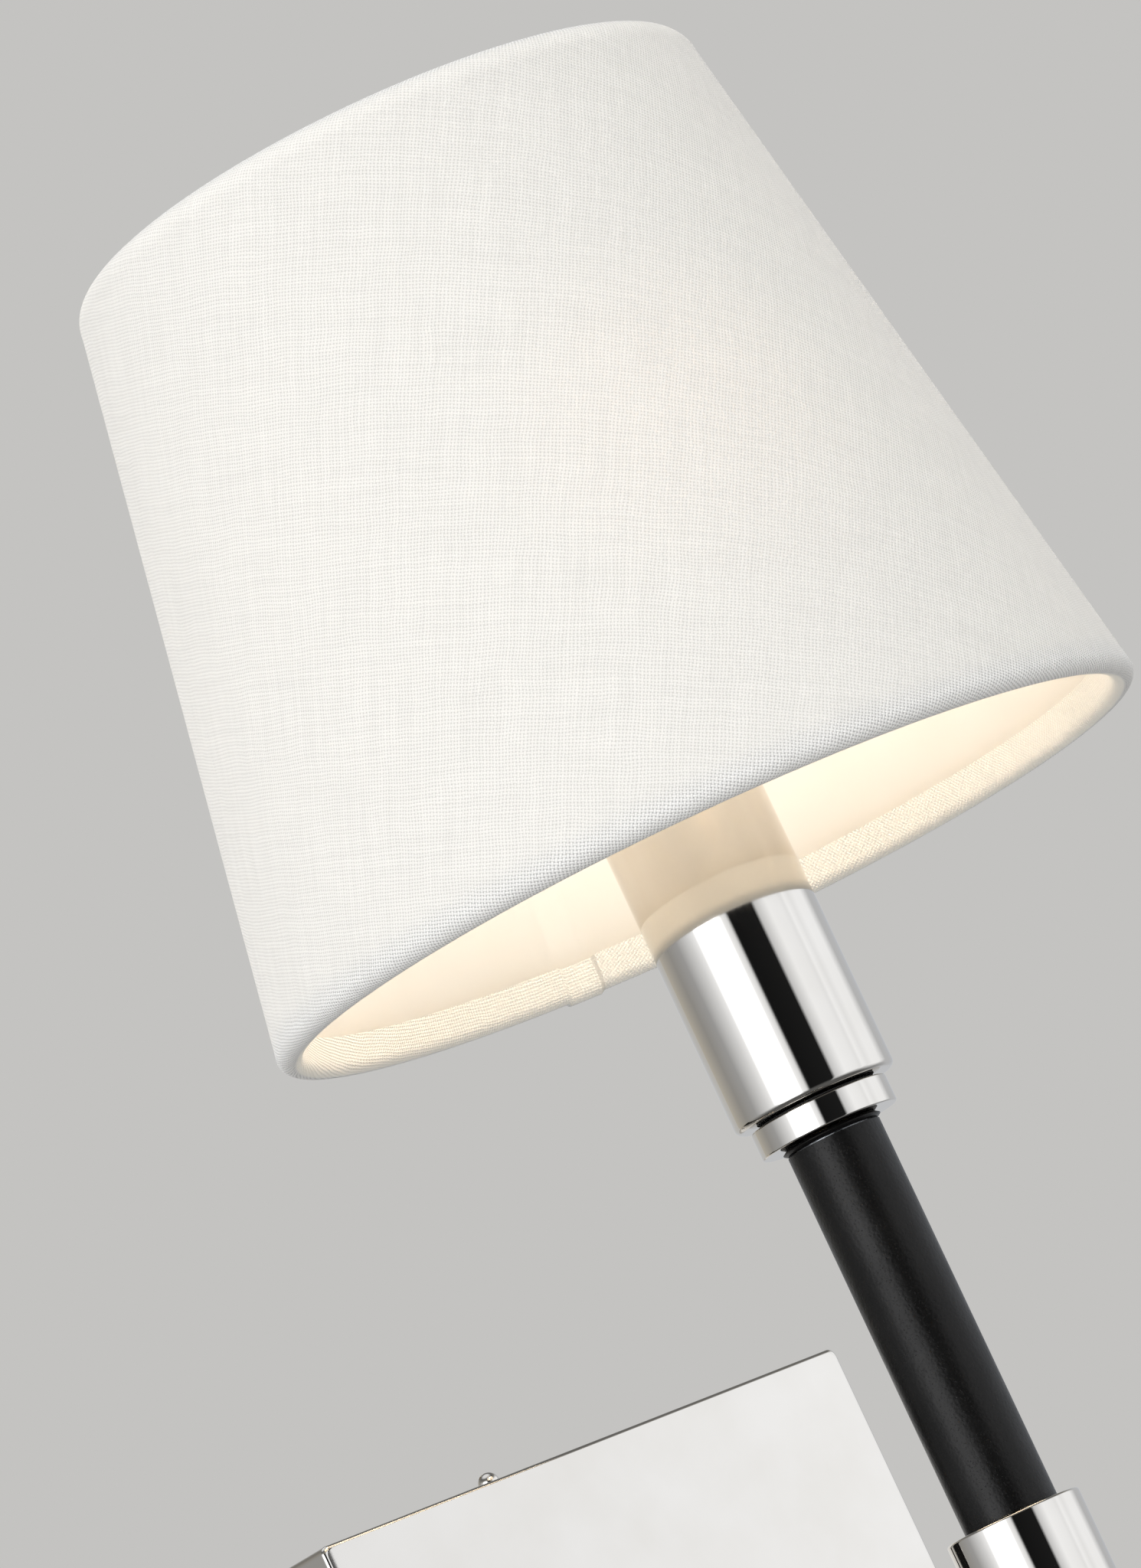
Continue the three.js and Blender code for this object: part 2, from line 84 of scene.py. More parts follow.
# The shade's cone unrolls flat about its apex, and the threads run straight in the flat cloth.
SHADE_LOW, SHADE_HIGH = heights("bottom_hem")[0], heights("top_hem")[1]
CONE_LOW, CONE_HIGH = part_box("shade_fabric")
BOTTOM_ROLL = 2.6 * MM
TOP_ROLL = 3.6 * MM
SHADE_RADIUS = radius_of("shade_fabric")
SHADE_SLOPE = (SHADE_RADIUS - radius_of("top_hem")) / (CONE_HIGH.z - CONE_LOW.z + TOP_ROLL)
HALF_ANGLE = math.atan(SHADE_SLOPE)
APEX = CONE_LOW.z + SHADE_RADIUS / SHADE_SLOPE

# ---- sizes that the frame doesn't give -----------------------------------------------------------

PIPE_BORE = 5.3 * MM
LEAD_RADIUS = 1.05 * MM
PLATE_WALL = 1.2 * MM
PLATE_CORNER = 1.7 * MM
PLATE_EDGE = 0.9 * MM

CLOTH = 0.6 * MM
THREAD_PITCH = 0.66 * MM
HEM = 4.5 * MM
TOP_FOLD = 6.0 * MM
BOTTOM_BAND = 6.5 * MM
TOP_BAND = 4.5 * MM
SEAM_ANGLE = math.radians(68)
SEAM_WIDTH = 8 * MM
SEAM_STEP = 0.55 * MM

# ---- camera and light ----------------------------------------------------------------------------

CAMERA_PLACE = Vector((-1.0022, -1.2769, -0.0528))
CAMERA_YAW = math.radians(40.93)
CAMERA_PITCH = math.radians(8.73)
CAMERA_ROLL = math.radians(-25.13)
CAMERA_LENS = 184.0

BACKDROP = (0.552, 0.546, 0.533, 1)
COOL_STUDIO = (1.225, 1.276, 1.363, 1)
BULB_GLOW = 12.9
HOT_SPOT_ANGLE = math.radians(-17)


def make_camera():
    data = bpy.data.cameras.new("camera")
    data.lens = CAMERA_LENS
    data.sensor_width = 36
    data.clip_end = 50
    camera = add_object("camera", data)
    level = Vector((math.sin(CAMERA_YAW), math.cos(CAMERA_YAW), 0))
    ahead = level * math.cos(CAMERA_PITCH) + Vector((0, 0, math.sin(CAMERA_PITCH)))
    turn = ahead.to_track_quat("-Z", "Y") @ Matrix.Rotation(CAMERA_ROLL, 4, "Z").to_quaternion()
    camera.matrix_world = Matrix.Translation(CAMERA_PLACE) @ turn.to_matrix().to_4x4()
    bpy.context.scene.camera = camera


# ---- shader helpers ----------------------------------------------------------------------------

class Graph:
    """A material's or the world's nodes. A value that is a socket is linked, any other is set."""

    def __init__(self, owner):
        owner.use_nodes = True
        self.tree = owner.node_tree
        self.tree.nodes.clear()

    def add(self, kind, *values, **named):
        node = self.tree.nodes.new(kind)
        for key in [k for k in named if hasattr(node, k)]:
            setattr(node, key, named.pop(key))
        pairs = list(enumerate(values)) + [(key.replace("_", " "), v) for key, v in named.items()]
        for key, value in pairs:
            if isinstance(value, bpy.types.NodeSocket):
                self.tree.links.new(value, node.inputs[key])
            elif value is not None:
                node.inputs[key].default_value = value
        return node

    def math(self, operation, *values):
        return self.add("ShaderNodeMath", *values, operation=operation).outputs[0]

    def noise(self, vector, scale, detail=2.0, rough=0.5):
        node = self.add("ShaderNodeTexNoise", Vector=vector, Scale=scale, Detail=detail, Roughness=rough)
        return node.outputs[0]

    def remap(self, value, low, high, to_low=0.0, to_high=1.0):
        node = self.add("ShaderNodeMapRange", value, low, high, to_low, to_high)
        return node.outputs[0]

    def mix_colour(self, factor, a, b, blend="MIX"):
        node = self.add("ShaderNodeMix", data_type="RGBA", blend_type=blend)
        for key, value in ((0, factor), (6, a), (7, b)):
            if isinstance(value, bpy.types.NodeSocket):
                self.tree.links.new(value, node.inputs[key])
            else:
                node.inputs[key].default_value = value
        return node.outputs[2]

    def ramp(self, value, stops):
        node = self.add("ShaderNodeValToRGB", value)
        ramp = node.color_ramp
        while len(ramp.elements) < len(stops):
            ramp.elements.new(1.0)
        for element, (place, colour) in zip(ramp.elements, stops):
            element.position = place
            element.color = colour
        return node.outputs[0]

    def bump(self, height, distance, strength=1.0, normal=None):
        values = {"Height": height, "Distance": distance, "Strength": strength, "Normal": normal}
        return self.add("ShaderNodeBump", **values).outputs[0]

    def place(self):
        return self.add("ShaderNodeTexCoord").outputs["Object"]

    def stretched(self, vector, x, y, z):
        return self.add("ShaderNodeMapping", Vector=vector, Scale=(x, y, z)).outputs[0]

    def vector(self, x, y, z):
        return self.add("ShaderNodeCombineXYZ", x, y, z).outputs[0]

    def shade(self, tone, roughness, normal=None, metallic=0.0):
        values = {"Base_Color": tone, "Roughness": roughness, "Normal": normal, "Metallic": metallic}
        return self.add("ShaderNodeBsdfPrincipled", **values)

    def let_through(self, surface, tone, normal, share):
        """Mixes in a share of light that passes through to the other side."""
        through = self.add("ShaderNodeBsdfTranslucent", Color=tone, Normal=normal)
        return self.add("ShaderNodeMixShader", share, surface.outputs[0], through.outputs[0])

    def output(self, surface, kind="ShaderNodeOutputMaterial"):
        self.add(kind, surface.outputs[0])


def grey(level, warm=0.0):
    """An opaque colour of a linear level, with a little less blue for each step of warm."""
    return (level, level * (1 - 0.35 * warm), level * (1 - warm), 1.0)


def new_material(name):
    material = bpy.data.materials.new(name)
    return material, Graph(material)


# ---- materials ---------------------------------------------------------------------------------

def polished_nickel():
    """Mirror nickel: slightly warm, with faint polishing lines, finger haze and a hint of ripple."""
    material, g = new_material("polished_nickel")
    place = g.place()
    haze = g.remap(g.noise(place, 60, 4), 0.35, 0.75)
    lines = g.noise(g.stretched(place, 900, 900, 40), 4, 2)
    roughness = g.math("MULTIPLY_ADD", haze, 0.022, g.remap(lines, 0.3, 0.7, 0.018, 0.034))
    tone = g.mix_colour(haze, (0.71, 0.674, 0.62, 1), (0.677, 0.639, 0.58, 1))
    ripple = g.bump(g.noise(place, 30, 1), 0.000008, 0.6)
    normal = g.bump(lines, 0.0000004, 0.4, ripple)
    g.output(g.shade(tone, roughness, normal, 1.0))
    return material


def zinc_steel():
    """Zinc-plated steel: dull grey with a soft mottle and rolling lines."""
    material, g = new_material("zinc_steel")
    place = g.place()
    mottle = g.noise(place, 220, 5, 0.6)
    lines = g.noise(g.stretched(place, 1500, 1500, 30), 2, 2)
    tone = g.ramp(mottle, [(0.3, (0.42, 0.43, 0.44, 1)), (0.7, (0.66, 0.66, 0.64, 1))])
    roughness = g.remap(mottle, 0.3, 0.7, 0.28, 0.5)
    normal = g.bump(lines, 0.00001, 0.4)
    g.output(g.shade(tone, roughness, normal, 1.0))
    return material


def plain_brass():
    """Machined brass, a little tarnished."""
    material, g = new_material("plain_brass")
    place = g.place()
    tarnish = g.noise(place, 300, 4, 0.6)
    tone = g.ramp(tarnish, [(0.3, (0.60, 0.42, 0.17, 1)), (0.7, (0.83, 0.66, 0.34, 1))])
    roughness = g.remap(tarnish, 0.3, 0.7, 0.22, 0.42)
    normal = g.bump(g.noise(g.stretched(place, 400, 400, 4000), 1, 1), 0.00001, 0.3)
    g.output(g.shade(tone, roughness, normal, 1.0))
    return material


def black_leather():
    """Smooth black calf: small pebbled grain, pores, soft wrinkles and rubbed high spots."""
    material, g = new_material("black_leather")
    place = g.place()
    grain = g.add("ShaderNodeTexVoronoi", Vector=place, Scale=1500.0, feature="SMOOTH_F1").outputs[0]
    pores = g.remap(g.noise(place, 2600, 2), 0.62, 0.74)
    wrinkle = g.noise(g.stretched(place, 1, 1, 0.5), 260, 4, 0.6)
    cloud = g.noise(place, 90, 3)
    tone = g.ramp(g.math("MULTIPLY_ADD", grain, 0.25, g.math("MULTIPLY", cloud, 0.7)), [
        (0.3, (0.0020, 0.0020, 0.0020, 1)),
        (0.75, (0.0050, 0.0049, 0.0048, 1)),
    ])
    roughness = g.remap(g.math("MULTIPLY_ADD", pores, 0.3, wrinkle), 0.3, 0.9, 0.30, 0.44)
    relief = g.math("MULTIPLY_ADD", grain, 0.5, g.math("MULTIPLY", wrinkle, 0.9))
    relief = g.math("MULTIPLY_ADD", pores, -0.35, relief)
    normal = g.bump(relief, 0.00017, 0.5)
    surface = g.shade(tone, roughness, normal)
    surface.inputs["Specular IOR Level"].default_value = 0.21
    surface.inputs["Specular Tint"].default_value = (1.0, 0.96, 0.91, 1)
    g.output(surface)
    return material


def weave(g, metres_x, metres_y):
    """Threads over and under in the flat cloth: their height, their slubs and the place in threads."""
    across = g.math("DIVIDE", metres_x, THREAD_PITCH)
    along = g.math("DIVIDE", metres_y, THREAD_PITCH)
    spot = g.vector(across, along, 0.0)
    across = g.math("ADD", across, g.remap(g.noise(spot, 0.06, 3), 0.2, 0.8, -0.7, 0.7))
    along = g.math("ADD", along, g.remap(g.noise(spot, 0.05, 3), 0.2, 0.8, -0.7, 0.7))
    wave_x = g.math("SINE", g.math("MULTIPLY", across, math.pi))
    wave_y = g.math("SINE", g.math("MULTIPLY", along, math.pi))
    over = g.math("MULTIPLY", wave_x, wave_y)
    warp = g.math("MULTIPLY", g.math("ABSOLUTE", wave_x), g.math("MULTIPLY_ADD", over, 0.4, 0.6))
    weft = g.math("MULTIPLY", g.math("ABSOLUTE", wave_y), g.math("MULTIPLY_ADD", over, -0.4, 0.6))
    slub_x = g.noise(g.vector(across, g.math("MULTIPLY", along, 0.04), 0.0), 0.7, 1)
    slub_y = g.noise(g.vector(g.math("MULTIPLY", across, 0.04), along, 3.0), 0.7, 1)
    warp = g.math("MULTIPLY", warp, g.remap(slub_x, 0.3, 0.7, 0.88, 1.12))
    weft = g.math("MULTIPLY", weft, g.remap(slub_y, 0.3, 0.7, 0.88, 1.12))
    slubs = g.math("ADD", g.math("MULTIPLY", slub_x, 0.5), g.math("MULTIPLY", slub_y, 0.5))
    return g.math("SMOOTH_MAX", warp, weft, 0.15), slubs, spot


def linen():
    """Plain-weave linen: round threads, soft slubs, painted shade in the gaps between threads, and thicker
    doubled hems; painted grey shade on the outer hem band and painted warm light on the tucked hem.
    """
    material, g = new_material("linen")
    flat = g.add("ShaderNodeAttribute", attribute_name="flat").outputs["Vector"]
    metres_x, metres_y, layer = g.add("ShaderNodeSeparateXYZ", flat).outputs[:3]
    hem = g.math("MINIMUM", layer, 1.0)
    tucked = g.remap(layer, 1.0, 2.0)
    height, slubs, spot = weave(g, metres_x, metres_y)
    tone = g.ramp(slubs, [(0.3, (0.895, 0.89, 0.88, 1)), (0.7, (0.93, 0.925, 0.915, 1))])
    # Painted shade between threads: the low parts of the weave are darkened, most on the outer hem band and
    # least on the tucked hem.
    gap_shade_floor = g.math("MULTIPLY_ADD", tucked, 0.42, g.math("MULTIPLY_ADD", hem, -0.32, 0.76))
    gap_shade = g.remap(height, 0.2, 0.6, gap_shade_floor, 1.0)
    gap_shade_colour = g.add("ShaderNodeCombineColor", gap_shade, gap_shade, gap_shade).outputs[0]
    tone = g.mix_colour(1.0, tone, gap_shade_colour, "MULTIPLY")
    # Painted shade: the outer hem band is tinted grey, standing in for less light coming through the
    # doubled cloth.
    tone = g.mix_colour(g.math("MULTIPLY", hem, 0.12), tone, (0.80, 0.81, 0.82, 1))
    # Painted light: the hem tucked inside the shade is tinted warm cream, as if lit by the bulb.
    tone = g.mix_colour(g.math("MULTIPLY", tucked, 0.85), tone, (0.94, 0.905, 0.82, 1))
    fuzz = g.noise(spot, 3.0, 3, 0.7)
    thick = g.math("MULTIPLY_ADD", hem, 1.4, 1.0)
    relief = g.math("MULTIPLY", g.math("MULTIPLY_ADD", fuzz, 0.2, height), thick)
    normal = g.bump(relief, 0.0002, 0.6)
    surface = g.shade(tone, 0.9, normal)
    surface.inputs["Specular IOR Level"].default_value = 0.2
    surface.inputs["Sheen Weight"].default_value = 0.15
    surface.inputs["Sheen Roughness"].default_value = 0.5
    share = g.math("MULTIPLY_ADD", tucked, -0.20, g.math("MULTIPLY_ADD", hem, -0.22, 0.50))
    g.output(g.let_through(surface, tone, normal, share))
    return material


def styrene():
    """Cream styrene liner: smooth, with the faintest vertical roller marks."""
    material, g = new_material("styrene")
    place = g.place()
    cloud = g.noise(place, 30, 3)
    marks = g.noise(g.stretched(place, 600, 600, 8), 1, 2)
    tone = g.ramp(cloud, [(0.3, (0.915, 0.89, 0.84, 1)), (0.7, (0.935, 0.915, 0.875, 1))])
    normal = g.bump(marks, 0.00002, 0.4)
    roughness = g.remap(marks, 0.3, 0.7, 0.45, 0.6)
    surface = g.shade(tone, roughness, normal)
    surface.inputs["Specular IOR Level"].default_value = 0.3
    g.output(g.let_through(surface, tone, normal, 0.33))
    return material


def plastic(name, colour, roughness, grain=0.00002):
    """Moulded plastic: a fine spark-eroded texture and slightly uneven gloss."""
    material, g = new_material(name)
    place = g.place()
    fine = g.noise(place, 2500, 3, 0.6)
    cloud = g.noise(place, 120, 3)
    dark = tuple(c * 0.82 for c in colour) + (1,)
    tone = g.mix_colour(g.remap(cloud, 0.3, 0.7), dark, tuple(colour) + (1,))
    gloss = g.remap(cloud, 0.3, 0.7, roughness - 0.06, roughness + 0.06)
    g.output(g.shade(tone, gloss, g.bump(fine, grain, 0.5)))
    return material


def painted_wire():
    """White-painted steel wire with small runs and specks."""
    material, g = new_material("painted_wire")
    place = g.place()
    runs = g.noise(place, 500, 3)
    tone = g.ramp(runs, [(0.3, (0.66, 0.66, 0.64, 1)), (0.7, (0.80, 0.80, 0.78, 1))])
    gloss = g.remap(runs, 0.3, 0.7, 0.3, 0.45)
    g.output(g.shade(tone, gloss, g.bump(runs, 0.00003, 0.5)))
    return material


def lit_glass():
    """Frosted candle bulb, lit: warm, a little brighter at its middle."""
    material, g = new_material("lit_glass")
    place = g.place()
    low, high = heights("bulb_glass")
    z = g.add("ShaderNodeSeparateXYZ", place).outputs[2]
    along = g.remap(z, low, high)
    glow = g.ramp(along, [
        (0.0, (1.0, 0.80, 0.58, 1)),
        (0.35, (1.0, 0.93, 0.84, 1)),
        (0.6, (1.0, 0.93, 0.84, 1)),
        (1.0, (1.0, 0.86, 0.68, 1)),
    ])
    frost = g.noise(place, 3000, 2)
    gloss = g.remap(frost, 0.3, 0.7, 0.3, 0.4)
    surface = g.shade((0.92, 0.90, 0.86, 1), gloss, g.bump(frost, 0.00001, 0.3))
    g.tree.links.new(glow, surface.inputs["Emission Color"])
    surface.inputs["Emission Strength"].default_value = BULB_GLOW
    g.output(surface)
    return material


def make_materials():
    return {
        "nickel": polished_nickel(),
        "steel": zinc_steel(),
        "brass": plain_brass(),
        "leather": black_leather(),
        "linen": linen(),
        "styrene": styrene(),
        "wire": painted_wire(),
        "glass": lit_glass(),
        "phenolic": plastic("phenolic", (0.03, 0.027, 0.024), 0.42),
        "fibre": plastic("fibre", (0.02, 0.02, 0.02), 0.6, 0.00001),
        "black": plastic("black_cover", (0.02, 0.02, 0.02), 0.4),
        "white": plastic("white_cover", (0.78, 0.77, 0.73), 0.4),
        "green": plastic("green_cover", (0.05, 0.22, 0.09), 0.4),
        "vitrite": plastic("vitrite", (0.012, 0.012, 0.012), 0.15),
        "bulb_cap": zinc_steel(),
    }


# ---- mesh helpers ------------------------------------------------------------------------------

def add_object(name, data):
    piece = bpy.data.objects.new(name, data)
    bpy.context.scene.collection.objects.link(piece)
    return piece


def smooth_faces(mesh, sharp):
    """Shades all faces smooth, but keeps the edges that bend by more than sharp degrees."""
    mesh.polygons.foreach_set("use_smooth", [True] * len(mesh.polygons))
    mesh.set_sharp_from_angle(angle=math.radians(sharp))


def mesh_object(name, vertices, faces, sharp=35):
    mesh = bpy.data.meshes.new(name)
    mesh.from_pydata(vertices, [], faces)
    mesh.validate()
    smooth_faces(mesh, sharp)
    return add_object(name, mesh)


def evaluated_mesh(piece):
    bpy.context.view_layer.update()
    return bpy.data.meshes.new_from_object(piece.evaluated_get(bpy.context.evaluated_depsgraph_get()))


def apply_modifiers(piece):
    mesh = evaluated_mesh(piece)
    piece.modifiers.clear()
    piece.data = mesh


def weigh_normals(piece):
    """Keeps large flat and round faces free of the bend of the small edge fillets beside them."""
    weigh = piece.modifiers.new("weigh", "WEIGHTED_NORMAL")
    weigh.keep_sharp = True
    weigh.weight = 100
    apply_modifiers(piece)


def finish_piece(piece, material, slot, body, *nodes):
    """Gives a piece its material and body, and hides the CAD nodes that it stands for. The slot is not
    used.
    """
    weigh_normals(piece)
    piece.data.materials.clear()
    piece.data.materials.append(material)
    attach(piece, body)
    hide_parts(*nodes)


def polish(piece, node, body="frame"):
    """Finishes a piece in polished nickel, in place of its CAD node."""
    finish_piece(piece, M["nickel"], "nickel", body, node)


def steps_between(start, end, count):
    return [start + (end - start) * i / count for i in range(count + 1)]


def angles_between(start, end, count):
    return [math.radians(angle) for angle in steps_between(start, end, count)]


def arc(centre, radius, start, end, count):
    """Points of an arc in the plane, angles in degrees, both ends included."""
    angles = angles_between(start, end, count)
    return [(centre[0] + radius * math.cos(a), centre[1] + radius * math.sin(a)) for a in angles]


def rounded(corners, closed=True, segments=5):
    """An outline of (x, y) or (x, y, fillet) corners, with the fillets as arcs."""
    points = []
    count = len(corners)
    for i, corner in enumerate(corners):
        here = Vector(corner[:2])
        fillet = corner[2] if len(corner) > 2 else 0
        if fillet == 0 or (not closed and i in (0, count - 1)):
            points.append(tuple(here))
            continue
        before = (Vector(corners[i - 1][:2]) - here).normalized()
        after = (Vector(corners[(i + 1) % count][:2]) - here).normalized()
        half = before.angle(after) / 2
        reach = fillet / math.tan(half)
        centre = here + (before + after).normalized() * (fillet / math.sin(half))
        start = here + before * reach - centre
        sweep = start.angle_signed(here + after * reach - centre)
        for k in range(segments + 1):
            turned_start = start.copy()
            turned_start.rotate(Matrix.Rotation(-sweep * k / segments, 2))
            points.append(tuple(centre + turned_start))
    return points


def smooth_line(points, steps):
    """A Catmull-Rom run through the points."""
    padded = [points[0]] + list(points) + [points[-1]]
    line = []
    for a, b, c, d in zip(padded, padded[1:], padded[2:], padded[3:]):
        for i in range(steps):
            t = i / steps
            weights = (-t + 2 * t * t - t ** 3, 2 - 5 * t * t + 3 * t ** 3,
                       t + 4 * t * t - 3 * t ** 3, -t * t + t ** 3)
            line.append(tuple(sum(w * p[k] for w, p in zip(weights, (a, b, c, d))) / 2 for k in (0, 1)))
    return line + [points[-1]]


def ring_outline(radius, bottom, top, bore, edge):
    """The section of a turned ring with its outer edges rounded."""
    seat = 0.2 * MM
    return rounded([(bore, bottom, seat), (radius, bottom, edge), (radius, top, edge), (bore, top, seat)])


def ring_of(steps):
    return [TAU * i / steps for i in range(steps)]


def skin(rows, closed):
    """Faces between rows of vertex numbers. A row that repeats one vertex is a tip."""
    pairs = list(zip(rows, rows[1:])) + ([(rows[-1], rows[0])] if closed else [])
    faces = []
    for low, high in pairs:
        for i in range(len(low)):
            k = (i + 1) % len(low)
            face = list(dict.fromkeys((low[i], low[k], high[k], high[i])))
            if len(face) > 2:
                faces.append(face)
    return faces


def turned(name, outline, angles=144, centre=None, closed=True, shift=None, sharp=35):
    """A turned mesh about an upright axis. shift gives a move out and up, by radius, height and angle."""
    angles = ring_of(angles) if isinstance(angles, int) else angles
    centre = COLUMN if centre is None else centre
    rows, vertices = [], []
    for radius, height in outline:
        if radius < 1e-7:
            rows.append([len(vertices)] * len(angles))
            vertices.append((centre[0], centre[1], height))
            continue
        rows.append(list(range(len(vertices), len(vertices) + len(angles))))
        for angle in angles:
            out, up = shift(radius, height, angle) if shift else (0, 0)
            x, y = (radius + out) * math.cos(angle), (radius + out) * math.sin(angle)
            vertices.append((centre[0] + x, centre[1] + y, height + up))
    return mesh_object(name, vertices, skin(rows, closed), sharp)


def mesh_box(name, centre, size):
    corners = [(sx, sy, sz) for sx in (-0.5, 0.5) for sy in (-0.5, 0.5) for sz in (-0.5, 0.5)]
    vertices = [tuple(c + s * k for c, s, k in zip(centre, size, corner)) for corner in corners]
    faces = [(0, 1, 3, 2), (4, 6, 7, 5), (0, 4, 5, 1), (2, 3, 7, 6), (0, 2, 6, 4), (1, 5, 7, 3)]
    return mesh_object(name, vertices, faces)


def lay_down(piece):
    """Turns a piece drawn upright about the origin so that its top points to the wall."""
    piece.data.transform(Matrix.Rotation(-math.pi / 2, 4, "X"))
    return piece


def tube_along(name, points, radius):
    """A round bar along a smooth curve through given points, as a mesh with closed ends."""
    curve = bpy.data.curves.new(name, "CURVE")
    curve.dimensions = "3D"
    curve.bevel_depth = radius
    curve.bevel_resolution = 4
    curve.use_fill_caps = True
    curve.resolution_u = 12
    spline = curve.splines.new("BEZIER")
    spline.bezier_points.add(len(points) - 1)
    for knot, point in zip(spline.bezier_points, points):
        knot.co = point
        knot.handle_left_type = "AUTO"
        knot.handle_right_type = "AUTO"
    holder = add_object(name + "_curve", curve)
    mesh = evaluated_mesh(holder)
    mesh.name = name
    bpy.data.objects.remove(holder)
    smooth_faces(mesh, 50)
    return add_object(name, mesh)


def softened(node, name, width):
    """A copy of a node with its edges rounded over."""
    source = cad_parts[node]
    mesh = source.data.copy()
    merged = bmesh.new()
    merged.from_mesh(mesh)
    bmesh.ops.remove_doubles(merged, verts=merged.verts, dist=1e-6)
    bmesh.ops.dissolve_limit(merged, angle_limit=math.radians(1), verts=merged.verts, edges=merged.edges)
    merged.to_mesh(mesh)
    merged.free()
    piece = add_object(name, mesh)
    bevel = piece.modifiers.new("edges", "BEVEL")
    bevel.width = width
    bevel.segments = 2
    bevel.limit_method = "ANGLE"
    bevel.angle_limit = math.radians(40)
    apply_modifiers(piece)
    smooth_faces(piece.data, 35)
    return piece


def boolean(piece, tool, operation="DIFFERENCE"):
    """Cuts or joins with another mesh, which is then removed."""
    change = piece.modifiers.new("change", "BOOLEAN")
    change.object = tool
    change.operation = operation
    change.solver = "EXACT"
    apply_modifiers(piece)
    bpy.data.objects.remove(tool)
    return piece


# ---- back plate --------------------------------------------------------------------------------

def rounded_square(half, corner, segments=6):
    corners = [(half, half, corner), (-half, half, corner), (-half, -half, corner), (half, -half, corner)]
    return rounded(corners, segments=segments)


def plate_loop(half, corner, y):
    centre_z = (PLATE_LOW.z + PLATE_HIGH.z) / 2
    return [(x, y, z + centre_z) for x, z in rounded_square(half, corner)]


def plate_box():
    """An open box with rounded edges, as loops from its inner floor round the rim to its front face."""
    half = PLATE_HALF
    front, back = PLATE_LOW.y, PLATE_HIGH.y
    loops = [
        plate_loop(half - PLATE_WALL, 0.7 * MM, front + PLATE_WALL),
        plate_loop(half - PLATE_WALL, 0.7 * MM, back),
        plate_loop(half - 0.15 * MM, PLATE_CORNER, back),
        plate_loop(half, PLATE_CORNER, back - 0.15 * MM),
    ]
    for inset, depth in arc((0, 0), PLATE_EDGE, 0, 90, 6):
        loops.append(plate_loop(half - PLATE_EDGE + inset, PLATE_CORNER, front + PLATE_EDGE - depth))
    count = len(loops[0])
    rows = [list(range(k * count, (k + 1) * count)) for k in range(len(loops))]
    faces = [face[::-1] for face in skin(rows, False)] + [rows[-1][::-1], rows[0]]
    return mesh_object("plate_shell", [point for loop in loops for point in loop], faces)


def make_plate():
    plate = plate_box()
    hole = turned("hole", [(0, -60 * MM), (PIPE_BORE, -60 * MM), (PIPE_BORE, -20 * MM), (0, -20 * MM)],
                  96, (0, 0), closed=False)
    boolean(plate, lay_down(hole))
    screw = middle("cap_screw_top")
    reach = PLATE_HALF * 1.2
    bore = turned("bore", [(0, -reach), (2.1 * MM, -reach), (2.1 * MM, reach), (0, reach)], 48,
                  (screw.x, screw.y), closed=False)
    boolean(plate, bore)
    plate.data.set_sharp_from_angle(angle=math.radians(30))
    polish(plate, "backplate")


def make_cap_screw(node, body, upward):
    """Small domed screw head with a driver slot, its shank going down into the strap."""
    low, high = heights(node)
    centre, head_radius = middle(node), radius_of(node)
    length = high - low
    straight = length - head_radius
    shank = 1.7 * MM
    outline = [(0, 0), (shank, 0)]
    turns = int((length - 5.6 * MM) / (0.7 * MM))
    for i in range(turns * 2):
        outline.append((shank - (0.25 * MM if i % 2 else 0), (i + 0.5) * 0.35 * MM + 0.2 * MM))
    outline += [(shank, length - 5.3 * MM), (shank, length - 4.9 * MM)]
    outline += rounded([(shank, length - 4.9 * MM), (head_radius, length - 4.9 * MM, 0.25 * MM),
                        (head_radius, straight)], closed=False, segments=3)[1:]
    outline += arc((0, straight), head_radius, 4, 90, 14)
    outline[-1] = (0, length)
    screw = turned(node + "_head", outline, 64, (0, 0), closed=False)
    boolean(screw, mesh_box("slot", (0, 0, length), (3 * head_radius, 0.7 * MM, 1.7 * MM)))
    screw.data.set_sharp_from_angle(angle=math.radians(35))
    place = Matrix.Translation((centre.x, centre.y, low if upward else high))
    if not upward:
        place = place @ Matrix.Rotation(math.pi, 4, "X")
    screw.data.transform(place)
    polish(screw, node, body)


# ---- arm ---------------------------------------------------------------------------------------

def make_arm():
    """A tube from the plate to the hub, cut to the hub's round side."""
    wall_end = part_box("arm_tube")[1].y
    radius = radius_of("arm_tube")
    inner = radius - 1.5 * MM
    hub_radius = radius_of("hub") + 0.3 * MM
    steps = 96
    vertices = []
    for r, at_hub in ((radius, True), (radius, False), (inner, False), (inner, True)):
        for angle in ring_of(steps):
            x, z = r * math.cos(angle), r * math.sin(angle)
            y = COLUMN.y + math.sqrt(hub_radius ** 2 - x ** 2) if at_hub else wall_end
            vertices.append((x, y, z))
    rows = [list(range(k * steps, (k + 1) * steps)) for k in range(4)]
    faces = [face[::-1] for face in skin(rows, True)]
    polish(mesh_object("arm_pipe", vertices, faces), "arm_tube")


def make_rose():
    """The moulded flange between the arm and the plate."""
    low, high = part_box("arm_flange")
    wide, bore = radius_of("arm_flange"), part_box("arm_tube")[1].x + 0.3 * MM
    rose = turned("arm_rose", rounded([
        (bore, low.y, 0.3 * MM),
        (wide - 3.4 * MM, low.y, 0.6 * MM),
        (wide - 2.2 * MM, low.y + 1.6 * MM, 0.8 * MM),
        (wide, low.y + 2.6 * MM, 1.2 * MM),
        (wide, high.y, 0.2 * MM),
        (bore, high.y, 0.1 * MM),
    ]), 144, (0, 0))
    polish(lay_down(rose), "arm_flange")


